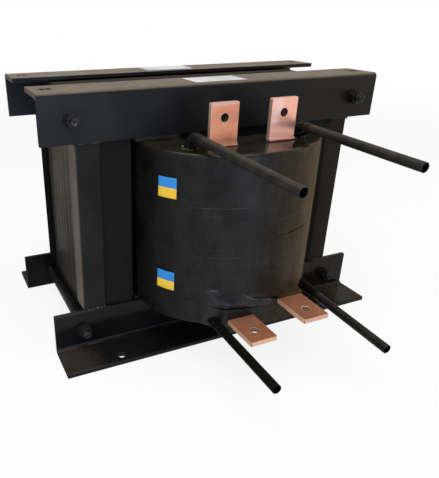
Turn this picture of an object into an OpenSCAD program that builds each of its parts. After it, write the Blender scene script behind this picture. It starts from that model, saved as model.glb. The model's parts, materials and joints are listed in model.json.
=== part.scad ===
// Iron core reactor. One winding sits on the middle limb of a laminated iron core, the core is
// clamped between steel angles, and copper terminals and bent tubes leave the winding's front.
// Axes: +X to the right, -Y to the front (the terminal side), +Z up.
// Origin: the middle of the base, on the floor.

/* [Core] */
// Width over the two outer limbs
core_w = 538; // [520:1:560]
// Depth of the lamination stack, front to back
core_d = 252; // [230:1:280]
// Width of each outer limb
outer_limb_w = 92; // [84:1:96]
// Width of the middle limb, which carries the winding
middle_limb_w = 184; // [170:1:190]
// Height of the top and bottom yokes
yoke_h = 70; // [60:1:80]
// Height of the two windows between the yokes
window_h = 312; // [308:1:340]
// How far each yoke's end stops short of the outer limb's side
yoke_set_back = 6; // [6:1:12]

/* [Clamping angles] */
// Length of the four horizontal clamping angles
clamp_len = 660; // [650:1:720]
// Thickness of the clamping angles
clamp_t = 8; // [6:1:10]
// Width of the leg that lies over the core, and of the leg that stands on the floor
flange_w = 80; // [70:1:90]
// Outer corner radius of a clamping angle
clamp_corner_r = 7; // [5:1:11]
// Root radius in the inner corner of a lower clamping angle
clamp_root_r = 6; // [3:1:8]
// Toe radius on the free edges of the legs
clamp_toe_r = 3; // [1:0.5:4]
// How far the lower clamping angles stand above the bottom yoke
lower_lap = 5; // [4:1:8]
// Gap between the top yoke and the flanges above it
yoke_gap = 2; // [1:0.5:4]
// Diameter of the paired holes near the ends of the upper flanges
flange_hole_d = 7.5; // [5.5:0.5:9]
// Distance between the middles of the two holes of a pair
flange_hole_pitch = 10.5; // [10:0.5:16]
// Distance of each pair's middle from the end of the angle
flange_hole_end = 24; // [18:1:30]
// Distance of those holes from the outer face of the web
flange_hole_in = 41; // [35:1:45]
// Diameter of the fixing holes in the feet
foot_hole_d = 14; // [10:1:18]
// Distance between the two fixing holes of one foot
foot_hole_pitch = 450; // [400:5:520]
// Distance of the fixing holes from the foot's free edge
foot_hole_edge = 16; // [14:1:30]

/* [Corner posts and core supports] */
// Width of a corner post's leg across the front or back
post_front_w = 41; // [30:1:50]
// Width of a corner post's leg along the side
post_side_w = 42; // [30:1:50]
// Thickness of the corner posts
post_t = 5; // [3:0.5:6]
// Outer corner radius of the corner posts
post_corner_r = 4; // [1:0.5:5]
// Height of the support angle's leg beside the bottom yoke
support_h = 44; // [30:1:60]
// Width of the support angle's leg under the bottom yoke
support_w = 45; // [30:1:60]
// Thickness of the support angles
support_t = 5; // [3:0.5:6]

/* [Tie rods] */
// Diameter of the tie rods
rod_d = 14; // [10:1:16]
// Clear space between a tie rod and the side of the core
rod_clear = 1; // [1:0.5:6]
// Radial clearance of a tie rod in the clamping angle
rod_hole_clear = 0.5; // [0.5:0.25:1]
// Height of the lower tie rods above the floor
rod_low_z = 41; // [34:1:50]
// Depth of the upper tie rods below the top of the upper clamping angles
rod_top_drop = 42; // [36:1:50]
// Width across the flats of the nuts
nut_af = 22; // [20:1:24]
// Thickness of the nuts
nut_h = 11; // [8:0.5:14]
// Outer diameter of the washers
washer_d = 27; // [26:1:30]
// Thickness of the washers
washer_t = 3; // [2:0.5:4]
// How far a tie rod stands out past its nut
rod_out = 8; // [4:1:15]
// How much further the front end of the upper right rod stands out
long_end = 5; // [0:1:15]

/* [Winding] */
// Gap between the winding and an outer limb
coil_side_gap = 9; // [5:1:14]
// Radial gap between the winding and the middle limb
coil_fit = 0.5; // [0.25:0.25:2]
// Height of the winding
coil_h = 301; // [290:1:303]
// How far the winding's flat sides run past the face of the core
coil_shoulder = 21; // [10:1:30]
// How far the winding reaches out from the face of the core
coil_reach = 157.5; // [155:0.5:180]
// Radius of the winding's four rounded corners
coil_corner_r = 115; // [100:1:118]
// Depth of the air duct between the core's face and the winding
duct_d = 42; // [30:1:46]
// Width of the flat lead block on the winding's front, which the lower bars come out of
lead_w = 160; // [156:1:164]
// Middle of the lead block, across
lead_x = 9; // [7:1:11]
// Reach of the lead block from the face of the core
lead_out = 159; // [158.5:0.5:170]
// Depth of the lead block, front to back
lead_depth = 45; // [40:1:60]
// Height of the lead block
lead_h = 50; // [50:1:60]
// How far the lead block hangs below the winding
lead_drop = 10; // [4:1:10]
// Radius of the lead block's upright edges
lead_r = 6; // [3:1:10]

/* [Packing boards] */
// Gap between a packing board and the outer limb
packing_gap = 5; // [2:1:10]

/* [Terminals] */
// Width of the copper bars
bar_w = 50; // [40:1:60]
// Thickness of the copper bars
bar_t = 8; // [6:1:10]
// Corner radius of the copper bars
bar_corner_r = 2.5; // [1:0.5:5]
// Diameter of the bolt hole in each bar
bar_hole_d = 14; // [11:1:17]
// Height of the upper bars above the winding
upper_bar_h = 69; // [60:1:90]
// Distance between the middles of the upper bars
upper_bar_pitch = 112; // [96:1:120]
// Distance of the upper bars' front from the face of the core
upper_bar_out = 90; // [80:1:100]
// Distance of the upper bolt holes from the bars' top
upper_hole_end = 24; // [18:1:30]
// Reach of the small foot at the bottom of an upper bar
bar_foot = 4; // [3:1:8]
// Thickness of that foot at its front
bar_foot_t = 3; // [2:0.5:5]
// Middle of the left lower bar, across
lower_left_bar_x = -42; // [-48:1:-34]
// Middle of the right lower bar, across
lower_right_bar_x = 57; // [50:1:62]
// Reach of the left lower bar from the face of the core
lower_left_bar_out = 229; // [215:1:245]
// Reach of the right lower bar from the face of the core
lower_right_bar_out = 232; // [215:1:245]
// Height of the left lower bar's underside above the winding's bottom
lower_left_bar_z = 11; // [4:1:16]
// Height of the right lower bar's underside above the winding's bottom
lower_right_bar_z = 30; // [24:1:32]
// Distance of the lower bolt holes from the bars' front
lower_hole_end = 28; // [20:1:34]

/* [Tubes] */
// Outer diameter of the tubes
tube_d = 15; // [12:1:16]
// Bore of the tubes
tube_bore = 10; // [6:1:11]
// Thickness of the tape wound round each tube at its root
wrap_t = 2.25; // [1:0.25:3]
// Length of that tape along the straight part of a tube
wrap_len = 46; // [30:1:70]
// Bend radius of the upper tubes
tube_bend_r = 20; // [16:1:26]
// Distance of the upper tubes' roots from the face of the core
upper_tube_out = 74; // [70:1:90]
// Left upper tube's root, across
upper_left_tube_x = -108; // [-112:1:-104]
// Right upper tube's root, across
upper_right_tube_x = 97; // [97:1:110]
// Angle by which the left upper tube turns to the right
upper_left_yaw = 4.6; // [0:0.1:6]
// Angle by which the right upper tube turns to the right
upper_right_yaw = 2.5; // [0:0.1:10]
// Angle by which the left upper tube falls towards its end
upper_left_dip = 3.9; // [0:0.1:8]
// Angle by which the right upper tube falls towards its end
upper_right_dip = 2.2; // [0:0.1:8]
// Straight length of the upper tubes
upper_tube_len = 230; // [200:1:260]
// Distance of the lower tubes' ends from the face of the core
lower_tube_out = 324; // [300:1:350]
// Depth of a lower tube's bore, which is blind
lower_bore_depth = 160; // [120:1:165]
// Left lower tube's end, across
lower_left_tube_x = -87; // [-94:1:-86]
// Right lower tube's end, across
lower_right_tube_x = 119.5; // [118:0.5:122]
// Left lower tube's end, above the floor
lower_left_tube_z = 88; // [86:1:94]
// Right lower tube's end, above the floor
lower_right_tube_z = 97; // [94:1:110]
// Angle by which the left lower tube falls towards its end
lower_left_dip = 2.1; // [0:0.1:3]
// Angle by which the right lower tube falls towards its end
lower_right_dip = 2.8; // [0:0.1:4]

/* [Rating labels] */
// Length of the label on each upper clamping angle
label_w = 100; // [80:1:120]
// Width of those labels
label_d = 54; // [40:1:56]
// Thickness of those labels
label_t = 0.8; // [0.5:0.1:2]
// Middle of the front label, across
front_label_x = -6; // [-40:1:40]
// Middle of the rear label, across
rear_label_x = -12; // [-40:1:40]

/* [Hidden] */
$fn = 64;

// Heights, from the floor up: support angle, bottom yoke, window, top yoke, upper flange.
core_z = support_t;
window_z = core_z + yoke_h;
top_yoke_z = window_z + window_h;
lower_web_h = window_z + lower_lap;
upper_web_h = yoke_h + yoke_gap + clamp_t;
post_h = top_yoke_z - lower_web_h;
top_z = top_yoke_z + upper_web_h;

// Distances of the core's side and face from the middle, and of what is clamped onto them.
side_x = core_w / 2;
face_y = core_d / 2;
web_y = face_y + clamp_t;
rod_x = side_x + rod_clear + rod_d / 2;
rod_high_z = top_z - rod_top_drop;
rod_end_y = web_y + washer_t + nut_h + rod_out;
window_x = side_x - outer_limb_w;

// The winding's outline. Its front is one wide arc that runs smoothly into the corner arcs.
coil_z = lower_web_h;
coil_top = coil_z + coil_h;
coil_x = window_x - coil_side_gap;
coil_corner_x = coil_x - coil_corner_r;
coil_corner_y = face_y + coil_shoulder;
coil_bulge = coil_reach - coil_shoulder;
coil_front_r = (coil_corner_x * coil_corner_x + coil_bulge * coil_bulge
    - coil_corner_r * coil_corner_r) / (2 * (coil_bulge - coil_corner_r));
coil_front_y = face_y + coil_reach - coil_front_r;
coil_front_angle = atan2(coil_corner_x, coil_corner_y - coil_front_y);

upper_bar_y = -(face_y + upper_bar_out);
// A lower tube is drawn back to this distance from its end, inside the winding, and cut there.
lower_root = lower_tube_out - coil_shoulder;
wrap_d = tube_d + 2 * wrap_t;
label_y = web_y - flange_w / 2;
// A cut that starts or ends in open space runs past the solid by this much.
past = 1;
// An upper tube starts this far below the winding's top, before it is cut off there.
root_depth = 3;

// Cross-section of a rolled angle. Its outer corner is at the origin and its legs lie along +X
// and +Y. The outer corner, the root and the toes are rounded where a radius is given.
module angle_section(leg_x, leg_y, t, corner_r, root_r, toe_r) {
  difference() {
    union() {
      square([leg_x, t]);
      square([t, leg_y]);
      if (root_r > 0) translate([t, t]) difference() {
        square(root_r);
        translate([root_r, root_r]) circle(root_r);
      }
    }
    corner_cut(corner_r);
    translate([leg_x, t]) rotate(180) corner_cut(toe_r);
    translate([t, leg_y]) rotate(180) corner_cut(toe_r);
  }
}

// What rounding a square corner at the origin takes away.
module corner_cut(r) {
  if (r > 0) difference() {
    translate([-past, -past]) square(r + past);
    translate([r, r]) circle(r);
  }
}

// A body of constant cross-section along X, whose section lies in the YZ plane.
module along_x(length) {
  rotate([90, 0, 90]) linear_extrude(length, center = true) children();
}

// A drill through a plate that lies flat, from z = 0 up through the thickness t.
module drill_up(d, t) {
  translate([0, 0, -past]) cylinder(d = d, h = t + 2 * past);
}

// A drill along +Y through a web that starts at y = 0.
module drill_back(d, t) {
  translate([0, -past, 0]) rotate([-90, 0, 0]) cylinder(d = d, h = t + 2 * past);
}

// The front one of each pair; the rear one is its mirror image.
module upper_clamp() {
  color("#26251f") difference() {
    translate([0, -web_y, top_z]) along_x(clamp_len)
      mirror([0, 1]) angle_section(flange_w, upper_web_h, clamp_t, clamp_corner_r,
        yoke_gap, clamp_toe_r);
    for (side = [-1, 1]) {
      for (step = [-0.5, 0.5])
        translate([side * (clamp_len / 2 - flange_hole_end) + step * flange_hole_pitch,
          flange_hole_in - web_y, top_z - clamp_t]) drill_up(flange_hole_d, clamp_t);
      translate([side * rod_x, -web_y, rod_high_z])
        drill_back(rod_d + 2 * rod_hole_clear, clamp_t);
    }
  }
}

module lower_clamp() {
  foot_hole_y = face_y + flange_w - foot_hole_edge;
  color("#211f1c") difference() {
    translate([0, -face_y, 0]) along_x(clamp_len)
      mirror([1, 0]) angle_section(flange_w, lower_web_h, clamp_t, clamp_corner_r,
        clamp_root_r, clamp_toe_r);
    for (side = [-1, 1]) {
      translate([side * foot_hole_pitch / 2, -foot_hole_y, 0]) drill_up(foot_hole_d, clamp_t);
      translate([side * rod_x, -web_y, rod_low_z])
        drill_back(rod_d + 2 * rod_hole_clear, clamp_t);
    }
  }
}

// The front left post. The other three are its mirror images.
module corner_post() {
  color("#24231f") translate([-side_x - post_t, -face_y - post_t, lower_web_h])
    linear_extrude(post_h)
      angle_section(post_front_w, post_side_w, post_t, post_corner_r, 0, 0);
}

module limb(x0, width) {
  color("#3a322a") translate([x0, -face_y, window_z]) cube([width, core_d, window_h]);
}

module yoke(z0) {
  length = core_w - 2 * yoke_set_back;
  color("#2a2622") translate([-length / 2, -face_y, z0]) cube([length, core_d, yoke_h]);
}

// The right support angle: one leg under the bottom yoke, one leg up beside its end.
module core_support() {
  color("#1d1b19") translate([side_x, face_y, 0]) rotate([90, 0, 0])
    linear_extrude(core_d) mirror([1, 0])
      angle_section(support_w, support_h, support_t, 0, 0, 0);
}

// An octagon through the points where its flat sides and arcs meet, and the round slices outside.
module winding_outline() {
  meet = [coil_front_r * sin(coil_front_angle),
    coil_front_y + coil_front_r * cos(coil_front_angle)];
  corner = [coil_x, coil_corner_y];
  polygon([for (q = [[1, 1], [-1, 1], [-1, -1], [1, -1]], p = q.x * q.y > 0 ? [corner, meet]
    : [meet, corner]) [q.x * p.x, q.y * p.y]]);
  for (end = [0, 1]) mirror([0, end]) {
    translate([0, -coil_front_y]) sector(coil_front_r, -coil_front_angle, coil_front_angle);
    for (side = [0, 1]) mirror([side, 0]) translate([coil_corner_x, -coil_corner_y])
      sector(coil_corner_r, coil_front_angle, 90);
  }
}

// A slice of a disc round the origin, between two directions that are measured from -Y to +X.
module sector(r, from, to) {
  intersection() {
    circle(r, $fn = 256);
    polygon([[0, 0], for (a = [from, (from + to) / 2, to]) 2 * r * [sin(a), -cos(a)]]);
  }
}

// The outline of the lead block, which sinks into the winding behind its flat front.
module lead_outline() {
  translate([lead_x - lead_w / 2, -face_y - lead_out]) difference() {
    square([lead_w, lead_depth]);
    corner_cut(lead_r);
    translate([lead_w, 0]) mirror([1, 0]) corner_cut(lead_r);
  }
}

module winding() {
  color("#25242a") translate([0, 0, coil_z]) difference() {
    union() {
      linear_extrude(coil_h) winding_outline();
      translate([0, 0, -lead_drop]) linear_extrude(lead_h) lead_outline();
    }
    translate([-middle_limb_w / 2 - coil_fit, -face_y - duct_d, -past])
      cube([middle_limb_w + 2 * coil_fit, core_d + 2 * duct_d, coil_h + 2 * past]);
  }
}

// Boards between the winding and the yokes, in the right window.
module packing(z0, z1, half_depth) {
  color("#1b1a18") translate([middle_limb_w / 2, -half_depth, z0])
    cube([window_x - packing_gap - middle_limb_w / 2, 2 * half_depth, z1 - z0]);
}

module tie_rod(x, z, extra) {
  color("#2b2a28") translate([x, rod_end_y, z]) rotate([90, 0, 0])
    cylinder(d = rod_d, h = 2 * rod_end_y + extra);
}

// Places its child, drawn from the web's outer face outwards along +Z, at both ends of each rod.
module at_rod_ends() {
  for (x = [-rod_x, rod_x], z = [rod_low_z, rod_high_z], back = [0, 1])
    mirror([0, back]) translate([x, -web_y, z]) rotate([90, 0, 0]) children();
}

module ring(d_out, d_in, h) {
  difference() {
    cylinder(d = d_out, h = h);
    translate([0, 0, -past]) cylinder(d = d_in, h = h + 2 * past);
  }
}

module nut() {
  difference() {
    rotate(30) cylinder(d = nut_af / cos(30), h = nut_h, $fn = 6);
    translate([0, 0, -past]) cylinder(d = rod_d, h = nut_h + 2 * past);
  }
}

// A flat bar with rounded corners at its far end. It lies along +Y from the origin.
module bar_outline(length) {
  difference() {
    translate([-bar_w / 2, 0]) square([bar_w, length]);
    for (side = [0, 1]) mirror([side, 0])
      translate([bar_w / 2, length]) rotate(180) corner_cut(bar_corner_r);
  }
}

// An upper bar stands on the winding. Its bottom is bent forward into a small foot.
module terminal_upper(x) {
  color("#c98665") translate([x, upper_bar_y, coil_top]) {
    difference() {
      translate([0, bar_t, 0]) rotate([90, 0, 0]) linear_extrude(bar_t)
        bar_outline(upper_bar_h);
      translate([0, 0, upper_bar_h - upper_hole_end]) drill_back(bar_hole_d, bar_t);
    }
    along_x(bar_w) mirror([1, 0]) difference() {
      square([bar_foot, bar_foot_t + bar_foot]);
      translate([bar_foot, bar_foot_t + bar_foot]) circle(bar_foot);
    }
  }
}

// A lower bar lies flat, at the height z above the winding's bottom. It starts on the lead
// block's flat front.
module terminal_lower(x, reach, z) {
  color("#b9704f") translate([x, 0, coil_z + z]) difference() {
    mirror([0, 1]) linear_extrude(bar_t) bar_outline(face_y + reach);
    translate([0, lower_hole_end - face_y - reach, 0]) drill_up(bar_hole_d, bar_t);
    winding_cut(x, coil_z + z);
  }
}

// The winding as a cutter, moved back by the place that its user has moved to.
module winding_cut(x, z) {
  translate([-x, 0, coil_z - z - past]) linear_extrude(coil_h + 2 * past) {
    winding_outline();
    lead_outline();
  }
}

// An upper tube comes up out of the winding, bends and runs to the front. The whole run leans
// forward by its dip, and it is cut off at the winding's top.
module upper_run(x, yaw, dip, length, d_out, d_in) {
  color("#2c2a27") difference() {
    translate([x, -face_y - upper_tube_out, coil_top]) rotate([dip, 0, yaw]) difference() {
      bent_rod(d_out, length);
      bent_rod(d_in, length + past);
    }
    translate([-coil_x, -face_y - coil_reach, coil_z]) cube([2 * coil_x, coil_reach, coil_h]);
  }
}

// A round rod that rises through the origin, turns a quarter circle and runs along -Y.
module bent_rod(d, length) {
  translate([0, 0, -root_depth]) cylinder(d = d, h = root_depth);
  translate([0, -tube_bend_r, 0]) rotate([90, 0, 90]) rotate_extrude(angle = 90)
    translate([tube_bend_r, 0]) circle(d = d);
  translate([0, -tube_bend_r, tube_bend_r]) rotate([90, 0, 0]) cylinder(d = d, h = length);
}

// A straight cylinder along a lower tube, between two distances from the tube's open end.
module lower_run(x, z, dip, d, from, to) {
  translate([x, -face_y - lower_tube_out, z]) rotate([dip - 90, 0, 0])
    translate([0, 0, from]) cylinder(d = d, h = to - from);
}

module tube_lower(x, z, dip) {
  color("#2c2a27") difference() {
    lower_run(x, z, dip, tube_d, 0, lower_root);
    lower_run(x, z, dip, tube_bore, -past, lower_bore_depth);
    winding_cut(0, 0);
  }
}

// Length of a lower tube outside the winding, at this distance across.
function lower_tube_free(x) = lower_tube_out - (coil_front_y - face_y)
  - sqrt(coil_front_r * coil_front_r - x * x);

module tube_wrap_lower(x, z, dip) {
  start = lower_tube_free(x) - wrap_len;
  color("#201f1d") difference() {
    lower_run(x, z, dip, wrap_d, start, lower_root);
    lower_run(x, z, dip, tube_d, start - past, lower_root + past);
    winding_cut(0, 0);
  }
}

module rating_label(x) {
  color("#c9d3e6") translate([x - label_w / 2, -label_y - label_d / 2, top_z])
    cube([label_w, label_d, label_t]);
}

upper_clamp();  // upper_clamp_front
mirror([0, 1, 0]) upper_clamp();  // upper_clamp_rear
lower_clamp();  // lower_clamp_front
mirror([0, 1, 0]) lower_clamp();  // lower_clamp_rear
corner_post();  // corner_post_front_left
mirror([1, 0, 0]) corner_post();  // corner_post_front_right
mirror([0, 1, 0]) corner_post();  // corner_post_rear_left
mirror([1, 0, 0]) mirror([0, 1, 0]) corner_post();  // corner_post_rear_right
limb(-side_x, outer_limb_w);  // core_limb_left
limb(-middle_limb_w / 2, middle_limb_w);  // core_limb_middle
limb(window_x, outer_limb_w);  // core_limb_right
yoke(top_yoke_z);  // core_yoke_top
yoke(core_z);  // core_yoke_bottom
mirror([1, 0, 0]) core_support();  // core_support_left
core_support();  // core_support_right
winding();
mirror([1, 0, 0]) packing(coil_top, top_yoke_z, web_y);  // packing_top_left
packing(coil_top, top_yoke_z, web_y);  // packing_top_right
mirror([1, 0, 0]) packing(window_z, coil_z, face_y);  // packing_bottom_left
packing(window_z, coil_z, face_y);  // packing_bottom_right
tie_rod(-rod_x, rod_high_z, 0);  // tie_rod_upper_left
tie_rod(rod_x, rod_high_z, long_end);  // tie_rod_upper_right
tie_rod(-rod_x, rod_low_z, 0);  // tie_rod_lower_left
tie_rod(rod_x, rod_low_z, 0);  // tie_rod_lower_right
color("#1f1e1c") at_rod_ends() translate([0, 0, washer_t]) nut();  // tie_nuts
color("#232220") at_rod_ends() ring(washer_d, rod_d, washer_t);  // tie_washers
terminal_upper(-upper_bar_pitch / 2);  // terminal_upper_left
terminal_upper(upper_bar_pitch / 2);  // terminal_upper_right
terminal_lower(lower_left_bar_x, lower_left_bar_out, lower_left_bar_z);  // terminal_lower_left
terminal_lower(lower_right_bar_x, lower_right_bar_out, lower_right_bar_z);  // terminal_lower_right
upper_run(upper_left_tube_x, upper_left_yaw, upper_left_dip, upper_tube_len, tube_d,  // tube_upper_left
    tube_bore);
upper_run(upper_right_tube_x, upper_right_yaw, upper_right_dip, upper_tube_len, tube_d,  // tube_upper_right
    tube_bore);
tube_lower(lower_left_tube_x, lower_left_tube_z, lower_left_dip);  // tube_lower_left
tube_lower(lower_right_tube_x, lower_right_tube_z, lower_right_dip);  // tube_lower_right
upper_run(upper_left_tube_x, upper_left_yaw, upper_left_dip, wrap_len, wrap_d, tube_d);  // tube_wrap_upper_left
upper_run(upper_right_tube_x, upper_right_yaw, upper_right_dip, wrap_len, wrap_d, tube_d);  // tube_wrap_upper_right
tube_wrap_lower(lower_left_tube_x, lower_left_tube_z, lower_left_dip);  // tube_wrap_lower_left
tube_wrap_lower(lower_right_tube_x, lower_right_tube_z, lower_right_dip);  // tube_wrap_lower_right
rating_label(front_label_x);  // rating_label_front
mirror([0, 1, 0]) rating_label(rear_label_x);  // rating_label_rear
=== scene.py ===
"""Finishes, fixings and trim of a dry iron core reactor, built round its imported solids."""

import json
import math

import bmesh
import bpy
import numpy as np
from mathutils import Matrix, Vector

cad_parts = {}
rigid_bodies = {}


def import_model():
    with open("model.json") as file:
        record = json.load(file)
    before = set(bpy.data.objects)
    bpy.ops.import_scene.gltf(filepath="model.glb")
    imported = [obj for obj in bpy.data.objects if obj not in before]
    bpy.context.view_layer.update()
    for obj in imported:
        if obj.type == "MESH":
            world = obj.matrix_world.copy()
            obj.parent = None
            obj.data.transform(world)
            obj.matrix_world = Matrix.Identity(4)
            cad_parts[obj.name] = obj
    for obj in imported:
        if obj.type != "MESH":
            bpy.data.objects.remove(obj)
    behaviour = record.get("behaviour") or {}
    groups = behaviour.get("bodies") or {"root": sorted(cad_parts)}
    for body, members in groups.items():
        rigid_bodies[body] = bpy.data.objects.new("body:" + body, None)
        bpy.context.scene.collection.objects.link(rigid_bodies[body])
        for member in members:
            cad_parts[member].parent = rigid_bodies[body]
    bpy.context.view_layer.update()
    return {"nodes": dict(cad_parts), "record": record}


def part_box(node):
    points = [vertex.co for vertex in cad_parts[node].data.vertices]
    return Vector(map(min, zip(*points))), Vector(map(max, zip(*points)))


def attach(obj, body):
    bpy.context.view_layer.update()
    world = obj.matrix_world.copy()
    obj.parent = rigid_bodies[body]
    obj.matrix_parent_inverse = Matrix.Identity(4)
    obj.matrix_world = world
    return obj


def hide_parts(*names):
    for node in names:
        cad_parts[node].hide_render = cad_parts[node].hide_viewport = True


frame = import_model()
solids = frame["nodes"]
mounts = {mount["name"]: mount for mount in frame["record"]["mounts"]}

# ---------------------------------------------------------------------------------------
# Core. Two yokes and three limbs, each a stack of thin silicon steel sheets that stand
# one behind the other. The cut edges of the sheets show on the sides and on top, under a
# thin brown-black varnish.

SHEETS_LEVEL = 0.0042  # depth of the groups of sheets that stand level with each other
SHEET_SLIP = 0.0003  # how far one group stands back from the next
SHEET_GRAIN = (3.0, 330.0, 3.0)  # how fast the edges' tone changes along each axis
EDGE_OLIVE = (0.068, 0.060, 0.043)
EDGE_DARK = (0.050, 0.043, 0.033)
VARNISH = (0.0150, 0.0146, 0.0145)
SIDE_SHADE_HEIGHTS = 0.10, 0.33  # between these the sides come out of painted shade upwards, showing their cut edges
SIDE_SHADE_DEPTHS = 0.048, 0.058  # between these the sides are painted dark again towards the back, as shade


def operator_pair(operation):
    """An operator and its reflected form, each of which adds its Math node."""
    return (lambda wire, other: wire.math(operation, wire, other),
            lambda wire, other: wire.math(operation, other, wire))


class Wire:
    """A socket that can stand in a sum with other sockets and numbers."""

    def __init__(self, board, socket):
        self.board, self.socket = board, socket

    def math(self, operation, *values):
        return self.board.node("ShaderNodeMath", {"operation": operation}, dict(enumerate(values)))

    __add__, __radd__ = operator_pair("ADD")
    __sub__, __rsub__ = operator_pair("SUBTRACT")
    __mul__, __rmul__ = operator_pair("MULTIPLY")
    __truediv__, __rtruediv__ = operator_pair("DIVIDE")

    def __abs__(self):
        return self.math("ABSOLUTE", self)

    def ramp(self, low, high):
        """0 below low, 1 above high, and a smooth step between them."""
        return self.board.node("ShaderNodeMapRange", {"interpolation_type": "SMOOTHSTEP"},
                               {"Value": self, "From Min": low, "From Max": high})


class Board:
    """A node tree. Its node method adds any node: its type, its settings, then its sockets."""

    def __init__(self, tree):
        self.tree = tree

    def node(self, kind, settings=None, sockets=None, output=0):
        made = self.tree.nodes.new(kind)
        for name, value in (settings or {}).items():
            setattr(made, name, value)
        for name, value in (sockets or {}).items():
            socket = made.inputs[name]
            if isinstance(value, Wire):
                self.tree.links.new(value.socket, socket)
            elif socket.type == "RGBA":
                socket.default_value = (*value, 1.0)
            else:
                socket.default_value = value
        return Wire(self, made.outputs[output]) if made.outputs else None

    def vector(self, operation, *values, **named):
        """A Vector Math node."""
        return self.node("ShaderNodeVectorMath", {"operation": operation},
                         {**dict(enumerate(values)), **named}, "Value" if operation == "LENGTH" else 0)

    def part(self, vector, axis):
        return self.node("ShaderNodeSeparateXYZ", {}, {0: vector}, axis)

    def joined(self, **parts):
        return self.node("ShaderNodeCombineXYZ", {}, parts)

    def mixed(self, share, first, second):
        """A colour between two."""
        return self.node("ShaderNodeMix", {"data_type": "RGBA"}, {0: share, 6: first, 7: second}, 2)


class Finish(Board):
    """A material, with the few groups of nodes that most finishes here share."""

    def __init__(self, name):
        self.material = bpy.data.materials.new(name)
        self.material.use_nodes = True
        super().__init__(self.material.node_tree)
        self.tree.nodes.clear()
        self.place = self.node("ShaderNodeTexCoord", output="Object")

    def noise(self, scale, detail=3.0, stretch=(1.0, 1.0, 1.0), roughness=0.5):
        place = self.node("ShaderNodeMapping", {}, {"Vector": self.place, "Scale": stretch})
        return self.node("ShaderNodeTexNoise", {}, {"Vector": place, "Scale": scale,
                                                    "Detail": detail, "Roughness": roughness})

    def along(self, axis):
        """The place along X, Y or Z."""
        return self.part(self.place, axis)

    def facing(self, axis, either=False):
        """How far the surface faces along X, Y or Z, or either way along it, from 0 to 1."""
        share = self.part(self.node("ShaderNodeNewGeometry", output="Normal"), axis)
        return (abs(share) if either else share).ramp(0.35, 0.95)

    def spot(self, centre, reach):
        """1 at a point, and less with the distance from it, down to 0 at this reach in X, Y and Z."""
        away = self.vector("DIVIDE", self.vector("SUBTRACT", self.place, centre), reach)
        return 1.0 - self.vector("LENGTH", away).ramp(0.35, 1.0)

    def bump(self, height, depth, over=None):
        """A Normal from a height, over another Normal if one is given."""
        return self.node("ShaderNodeBump", {}, {"Height": height, "Distance": depth,
                                                **({"Normal": over} if over else {})})

    def surface(self, **sockets):
        """The Principled shader, its sockets named with underscores, and the finished material."""
        named = {name.replace("_", " "): value for name, value in sockets.items()}
        self.node("ShaderNodeOutputMaterial", {}, {
            "Surface": self.node("ShaderNodeBsdfPrincipled", {}, named)})
        return self.material


def placed(name, data):
    """A new object in the scene, of a mesh, a lamp or a camera."""
    piece = bpy.data.objects.new(name, data)
    bpy.context.scene.collection.objects.link(piece)
    return piece


class Growth(Board):
    """A Geometry Nodes tree with named inputs, which are read as tree["Input"]."""

    def __init__(self, name, **inputs):
        super().__init__(bpy.data.node_groups.new(name, "GeometryNodeTree"))
        self.tree.interface.new_socket("Geometry", in_out="INPUT", socket_type="NodeSocketGeometry")
        for label, kind in {**inputs, "Material": "Material"}.items():
            self.tree.interface.new_socket(label, in_out="INPUT", socket_type="NodeSocket" + kind)
        self.tree.interface.new_socket("Geometry", in_out="OUTPUT", socket_type="NodeSocketGeometry")
        given = self.tree.nodes.new("NodeGroupInput")
        self.given = {socket.name: Wire(self, socket) for socket in given.outputs if socket.name}

    def __getitem__(self, label):
        return self.given[label]

    def drawn(self, low, high, seed):
        """A vector drawn at random between two, anew at each point."""
        return self.node("FunctionNodeRandomValue", {"data_type": "FLOAT_VECTOR"},
                         {0: low, 1: high, "Seed": seed})

    def repeated(self, points, thing, **sockets):
        """The same thing at every point."""
        return self.node("GeometryNodeInstanceOnPoints", {},
                         {"Points": points, "Instance": thing, **sockets})

    def end(self, geometry):
        real = self.node("GeometryNodeRealizeInstances", {}, {0: geometry})
        self.node("NodeGroupOutput", {}, {0: self.node(
            "GeometryNodeSetMaterial", {}, {0: real, "Material": self["Material"]})})

    def grown(self, name, mesh=None, **sizes):
        """A plain mesh object made by the tree from these sizes, and from a mesh if one is given."""
        piece = placed(name, mesh or bpy.data.meshes.new(name))
        modifier = piece.modifiers.new("growth", "NODES")
        modifier.node_group = self.tree
        for item in self.tree.interface.items_tree:
            if item.in_out == "INPUT" and item.name in sizes:
                modifier[item.identifier] = sizes[item.name]
        bpy.context.view_layer.update()
        graph = bpy.context.evaluated_depsgraph_get()
        grown = bpy.data.meshes.new_from_object(piece.evaluated_get(graph), depsgraph=graph)
        piece.modifiers.clear()
        piece.data = grown
        grown.name = name
        return piece


def fit(piece, slot, *replaced):
    """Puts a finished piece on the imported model, in place of the solids that it stands for."""
    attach(piece, "root")
    if replaced:
        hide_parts(*replaced)


def smoothed(mesh, degrees=30):
    mesh.shade_smooth()
    mesh.set_sharp_from_angle(angle=math.radians(degrees))


def clothed(mesh, *finishes):
    for finish in finishes:
        mesh.materials.append(finish)


core = Finish("core_varnish")
sheet_tone = core.noise(1.0, 3.0, SHEET_GRAIN, 0.7).ramp(0.38, 0.66)
stain = core.noise(11.0, 4.0).ramp(0.35, 0.7)
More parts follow.
